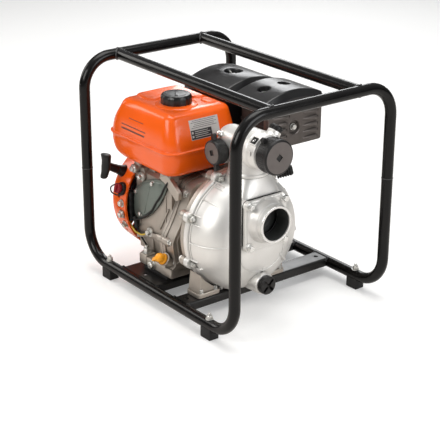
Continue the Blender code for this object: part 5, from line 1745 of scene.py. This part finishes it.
def manifold():
    body = turned([(28, 0), (28.3, 6), (29.6, 12), (32.5, 18), (37, 22.6), (43, 26), (50, 28),
                   (58, 28.8), (80, 28.8), (90, 31), (102, 36), (136, 37), (139, 36.2),
                   (140.5, 34.6), (159.0, 34.6), (160.2, 33), (161.5, 30), (182, 30), (182, 0)],
                  1.0, 3, 112, MANIFOLD_LINE)
    neck = turned([(0, 0), (0, 40), (5.4, 40), (7.4, 38.2), (47, 35.6), (47, 0)], 1.4, 3, 96,
                  NECK_FOOT, Z_AXIS)
    outlets = [turned([(0, 0), (0, 24), (20, 24), (24, 25.5), (28, 25.5), (28, 0)], 1.2, 3, 72,
                      (SIDE_X, CRANK_Y, SIDE_Z), (0, side, 0)) for side in (-1, 1)]
    outlets += [rod((SIDE_X, CRANK_Y, SIDE_Z), (SIDE_X, CRANK_Y + side * 42, SIDE_Z), 19.4, 48)
                for side in (-1, 1)]
    filler = turned([(18, 0), (18, 15.5), (34, 15.0), (37, 13.2), (44, 13.0), (44, 0)],
                    1.2, 3, 56, FILLER_FOOT, FILLER_AXIS)
    # rectangular pocket on the upper front of the barrel
    out = Vector((0, -0.67, 0.742)).normalized()
    axes = (X_AXIS, X_AXIS.cross(out), out)
    pocket = Vector((150.5, CRANK_Y, MANIFOLD_Z)) + out * 34.0
    body = union(body, neck, *outlets)
    body = union(body, filler, oriented_box(pocket, axes, (19, 18, 5), 1.4, 3))
    body = cut(body, lathe([(33, 0), (39, 15), (50, 21), (82, 22), (102, 28), (188, 26.5),
                            (188, 0)], 64, MANIFOLD_LINE),
               rod((NECK_X, CRANK_Y, 260), (NECK_X, CRANK_Y, MANIFOLD_Z), 31, 48),
               rod((SIDE_X, CRANK_Y - 70, SIDE_Z), (SIDE_X, CRANK_Y + 70, SIDE_Z), 16, 40),
               rod(FILLER_FOOT + FILLER_AXIS * 10, FILLER_FOOT + FILLER_AXIS * 66, 8.6, 32),
               oriented_box(pocket + out * 3.0, axes, (15, 14, 4.0), 0.6))
    place("manifold_casting", body, "alu", replaces="discharge_manifold", angle=26, bevel=0.9,
          segments=3)
    place("manifold_pocket_insert", oriented_box(pocket + out * 2.0, axes, (14.6, 13.6, 2.2),
                                                 0.5), "black")
    place("manifold_pocket_key", oriented_box(pocket + out * 3.2, axes, (5.2, 5.2, 1.4), 0.5),
          "steel_bright")


manifold()
place("manifold_joint", lathe([(-0.35, 30), (-0.35, 39.4), (0.05, 39.4), (0.05, 30)], 72,
                              NECK_FOOT, Z_AXIS, closed=True), "rubber")
for i, degrees in enumerate((62, 118)):
    angle = radians(degrees)
    top = Vector((NECK_X + 44 * cos(angle), CRANK_Y + 41 * sin(angle), NECK_TOP + 5.5))
    place(f"neck_boss_{i}", disc(top - Vector((0, 0, 11)), top, 8.0, 36, 1.0), "alu")
    bolt(f"neck_bolt_{i}", top, Z_AXIS, 10, 6, washer=7.4, turn=degrees)
place("manifold_rib", oriented_box((150, CRANK_Y - 36, MANIFOLD_Z + 4),
                                   (X_AXIS, Y_AXIS, Z_AXIS), (6, 3, 9), 0.8), "alu")
out = Vector((0, -0.88, 0.475)).normalized()
boss = Vector((50, CRANK_Y, MANIFOLD_Z)) + out * 27.0
place("manifold_end_boss", disc(boss - out * 8, boss + out * 2.4, 7.0, 32, 1.0), "alu")
bolt("manifold_end_bolt", boss + out * 2.4, out, 9, 4.6, material="steel_bright", turn=0.5,
     flange=True)

# filler and drain plugs
plug = turned([(32.4, 0), (32.4, 8), (44.4, 8), (44.4, 12.5), (52, 12.2), (55, 9.8), (55, 0)],
              0.8, 3, 48, FILLER_FOOT, FILLER_AXIS)
ribs = grip_ribs(FILLER_FOOT + FILLER_AXIS * 48.4, FILLER_AXIS, 12.3, 18, (1.4, 1.9, 6.4), 0.4)
place("filler_plug_moulding", join(plug, *ribs), "cap", "filler", replaces="filler_plug")
DRAIN = joint_at("drain_plug_turn")
DRAIN_LINE = Vector((0, DRAIN.y, DRAIN.z))
plug = turned([(130, 0), (130, 13.7), (158.4, 13.7), (158.4, 18.4), (168, 18.4), (169.4, 17),
               (169.4, 0)], 0.8, 3, 72, DRAIN_LINE)
grooves = [radial_box((166.5, DRAIN.y, DRAIN.z), angle, (8.6, 31, 5.4), 1.2)
           for angle in (45, 135)]
for k in range(12):
    centre = Vector((164, DRAIN.y, DRAIN.z)) + radial(30 * k) * 18.6
    grooves.append(radial_box(centre, 30 * k, (14, 2.2, 3.0), 0.6))
place("drain_plug_moulding", cut(plug, *grooves), "cap", "drain", replaces="drain_plug",
      angle=32, bevel=0.5)
place("drain_plug_seal", bead((158.2, DRAIN.y, DRAIN.z), X_AXIS, 15.6, 1.0, 48), "rubber")


def outlet_cap(place_name, start, axis, radius, depth, bore, roof, turn, ear_length, ear_at,
               ear_width, key):
    """Screw cap with two lever ears, a square recess, a face painted lighter grey than the black
    cap for the light it catches, and a ribbed rim.
    """
    name = f"cap_{place_name}_moulding"
    node = "outlet_cap_" + place_name
    body = "cap_" + place_name
    axis, side, up = basis(axis)
    start = Vector(start)
    profile = fillet([(0.2, radius - 1.2), (1.6, radius), (depth - 2.2, radius),
                      (depth, radius - 2.0), (depth, radius - 3.6),
                      (depth - 0.6, radius - 4.4), (depth - 0.6, 0)], 0.9, 3)
    profile += [(depth - roof, 0), (depth - roof, bore), (0.2, bore)]
    cap = lathe(profile, 112, start, axis, closed=True)
    turn = radians(turn)
    out = side * cos(turn) + up * sin(turn)
    across = axis.cross(out)
    tip = radius + ear_length
    half_ear = [(radius - 3, -ear_width * 0.5 - 1.4), (radius + 1.5, -ear_width * 0.5),
                (tip - 1.6, -ear_width * 0.46), (tip, -ear_width * 0.2)]
    outline = half_ear + [(a, -b) for a, b in half_ear[::-1]]
    ears = [skin([[start + out * (a * sign) + across * b + axis * level for a, b in outline]
                  for level in (ear_at, ear_at + 8)]) for sign in (-1, 1)]
    cap = union(cap, *ears)
    skew = radians(12)
    key_side = out * cos(skew) + across * sin(skew)
    key_centre = start + axis * (depth + 5 - roof * 0.30)
    key_axes = (key_side, axis.cross(key_side), axis)
    cap = cut(cap, oriented_box(key_centre, key_axes, (key, key, 10), 0.8))
    place(name, cap, "cap", body, replaces=node, angle=30, bevel=0.5)
    # painted light: the face disc takes the lighter grey cap face colour
    face = fillet([(depth - 1.2, 0), (depth - 0.5, 0.5), (depth - 0.1, radius - 3.6),
                   (depth - 1.2, radius - 3.2)], edge=0.0, steps=1)
    face = lathe(face + [(depth - 1.2, 0)], 112, start, axis)
    face = cut(face, oriented_box(key_centre, key_axes, (key, key, 14), 0.6))
    place(name + "_face", face, "cap_front_painted_light", body)
    ribs = grip_ribs(start + axis * (depth * 0.42), axis, radius + 0.05, 48,
                     (0.9, 1.6, depth * 0.62), 0.3)
    place(name + "_grip", join(*ribs), "cap", body)
    keep_cad("gasket_" + node, "rubber", bevel=0.3)


outlet_cap("main", (164, CRANK_Y, MANIFOLD_Z), X_AXIS, radius=34.0, depth=30.0, bore=31.0,
           roof=9.0, turn=122.0, ear_length=9.0, ear_at=4.0, ear_width=9.5, key=11.6)
for side, side_name in ((-1, "front"), (1, "rear")):
    outlet_cap(side_name, (SIDE_X, CRANK_Y + side * 29, SIDE_Z), (0, side, 0), radius=24.0,
               depth=24.0, bore=20.6, roof=8.0, turn=98.0, ear_length=12.0, ear_at=11.0,
               ear_width=8.4, key=10.6)


# ============================ stage, light, camera (metres) ==================
def ground():
    """Pale floor, a little brighter to the camera than to the light it bounces."""
    bm = bmesh.new()
    bmesh.ops.create_grid(bm, x_segments=24, y_segments=24, size=7.0)
    mesh = bpy.data.meshes.new("ground")
    bm.to_mesh(mesh)
    bm.free()
    ob = new_object("ground", mesh)
    material = bpy.data.materials.new("ground_paper")
    nodes = Nodes(material)
    noise = nodes.add("ShaderNodeTexNoise", Scale=3.0, Detail=6.0)
    paper = nodes.colour_ramp(noise.outputs["Fac"], low=(0.80, 0.80, 0.795, 1),
                              high=(0.86, 0.86, 0.855, 1))
    seen = nodes.add("ShaderNodeLightPath").outputs["Is Camera Ray"]
    colour = nodes.add("ShaderNodeMixRGB", Fac=seen, Color1=(0.74, 0.71, 0.68, 1), Color2=paper)
    nodes.feed(nodes.tree.nodes["Principled BSDF"], Base_Color=colour.outputs["Color"],
               Emission_Color=(1, 1, 1, 1), Emission_Strength=nodes.math('MULTIPLY', seen, 0.22),
               Roughness=0.75, Specular_IOR_Level=0.25)
    mesh.materials.append(material)


def aimed(position, direction):
    """Placement at a position, looking in a direction."""
    turn = direction.to_track_quat('-Z', 'Y').to_matrix().to_4x4()
    return Matrix.Translation(Vector(position)) @ turn


def area_light(name, position, target, size, power, colour):
    light = bpy.data.lights.new(name, 'AREA')
    light.energy = power
    light.shape = 'RECTANGLE'
    light.size, light.size_y = size
    light.color = colour
    ob = new_object(name, light)
    ob.matrix_world = aimed(position, Vector(target) - Vector(position))


def studio_world():
    """Grey gradient for light and reflections; seen directly a plain pale wall."""
    world = bpy.data.worlds.new("studio")
    bpy.context.scene.world = world
    nodes = Nodes(world)
    position = nodes.add("ShaderNodeTexCoord").outputs["Generated"]
    height = nodes.add("ShaderNodeSeparateXYZ", Vector=position).outputs["Z"]
    gradient = nodes.colour_ramp(height, low=(0.10, 0.10, 0.10, 1), high=(1.0, 1.0, 1.0, 1),
                                 high_at=0.75)
    dim = nodes.tree.nodes["Background"]
    nodes.feed(dim, Color=gradient, Strength=0.42)
    wall = nodes.add("ShaderNodeBackground", Color=(0.93, 0.93, 0.925, 1), Strength=1.0)
    mix = nodes.add("ShaderNodeMixShader")
    for socket, source in zip(mix.inputs, (nodes.add("ShaderNodeLightPath")
                                           .outputs["Is Camera Ray"],
                                           dim.outputs[0], wall.outputs[0])):
        nodes.put(socket, source)
    nodes.feed(nodes.tree.nodes["World Output"], Surface=mix.outputs[0])


def camera():
    data = bpy.data.cameras.new("camera")
    data.sensor_width = 36.0
    data.lens = 108.44181818
    data.shift_x = 0.0045454545
    data.shift_y = 0.0031818182
    data.clip_end = 50.0
    ob = new_object("camera", data)
    azimuth, elevation, roll = radians(52.37), radians(22.37), radians(0.19)
    view = Vector((-sin(azimuth) * cos(elevation), cos(azimuth) * cos(elevation),
                   -sin(elevation)))
    ob.matrix_world = aimed((1.9293, -1.5235, 1.1446), view) @ Matrix.Rotation(roll, 4, 'Z')
    bpy.context.scene.camera = ob


ground()
area_light("softbox_top", position=(-0.1, 0.15, 2.3), target=(0.0, 0.0, 0.2), size=(1.7, 1.4),
           power=33, colour=(1.0, 0.985, 0.96))
area_light("key_front", position=(0.25, -2.4, 1.5), target=(0.0, 0.0, 0.2), size=(1.5, 1.2),
           power=32, colour=(1.0, 0.98, 0.95))
area_light("side_right", position=(2.6, 0.7, 1.1), target=(0.0, 0.0, 0.25), size=(1.4, 1.4),
           power=30, colour=(0.97, 0.98, 1.0))
area_light("back_card", position=(-1.9, 1.75, 1.35), target=(0.0, 0.05, 0.36), size=(0.9, 0.8),
           power=13, colour=(0.98, 0.99, 1.0))
area_light("rim_left", position=(-2.0, -1.0, 1.1), target=(0.0, 0.0, 0.25), size=(0.8, 1.2),
           power=12, colour=(1.0, 0.97, 0.93))
studio_world()
bpy.context.scene.view_settings.view_transform = 'Standard'
bpy.context.scene.view_settings.look = 'None'
bpy.context.scene.view_settings.exposure = 0.0
camera()
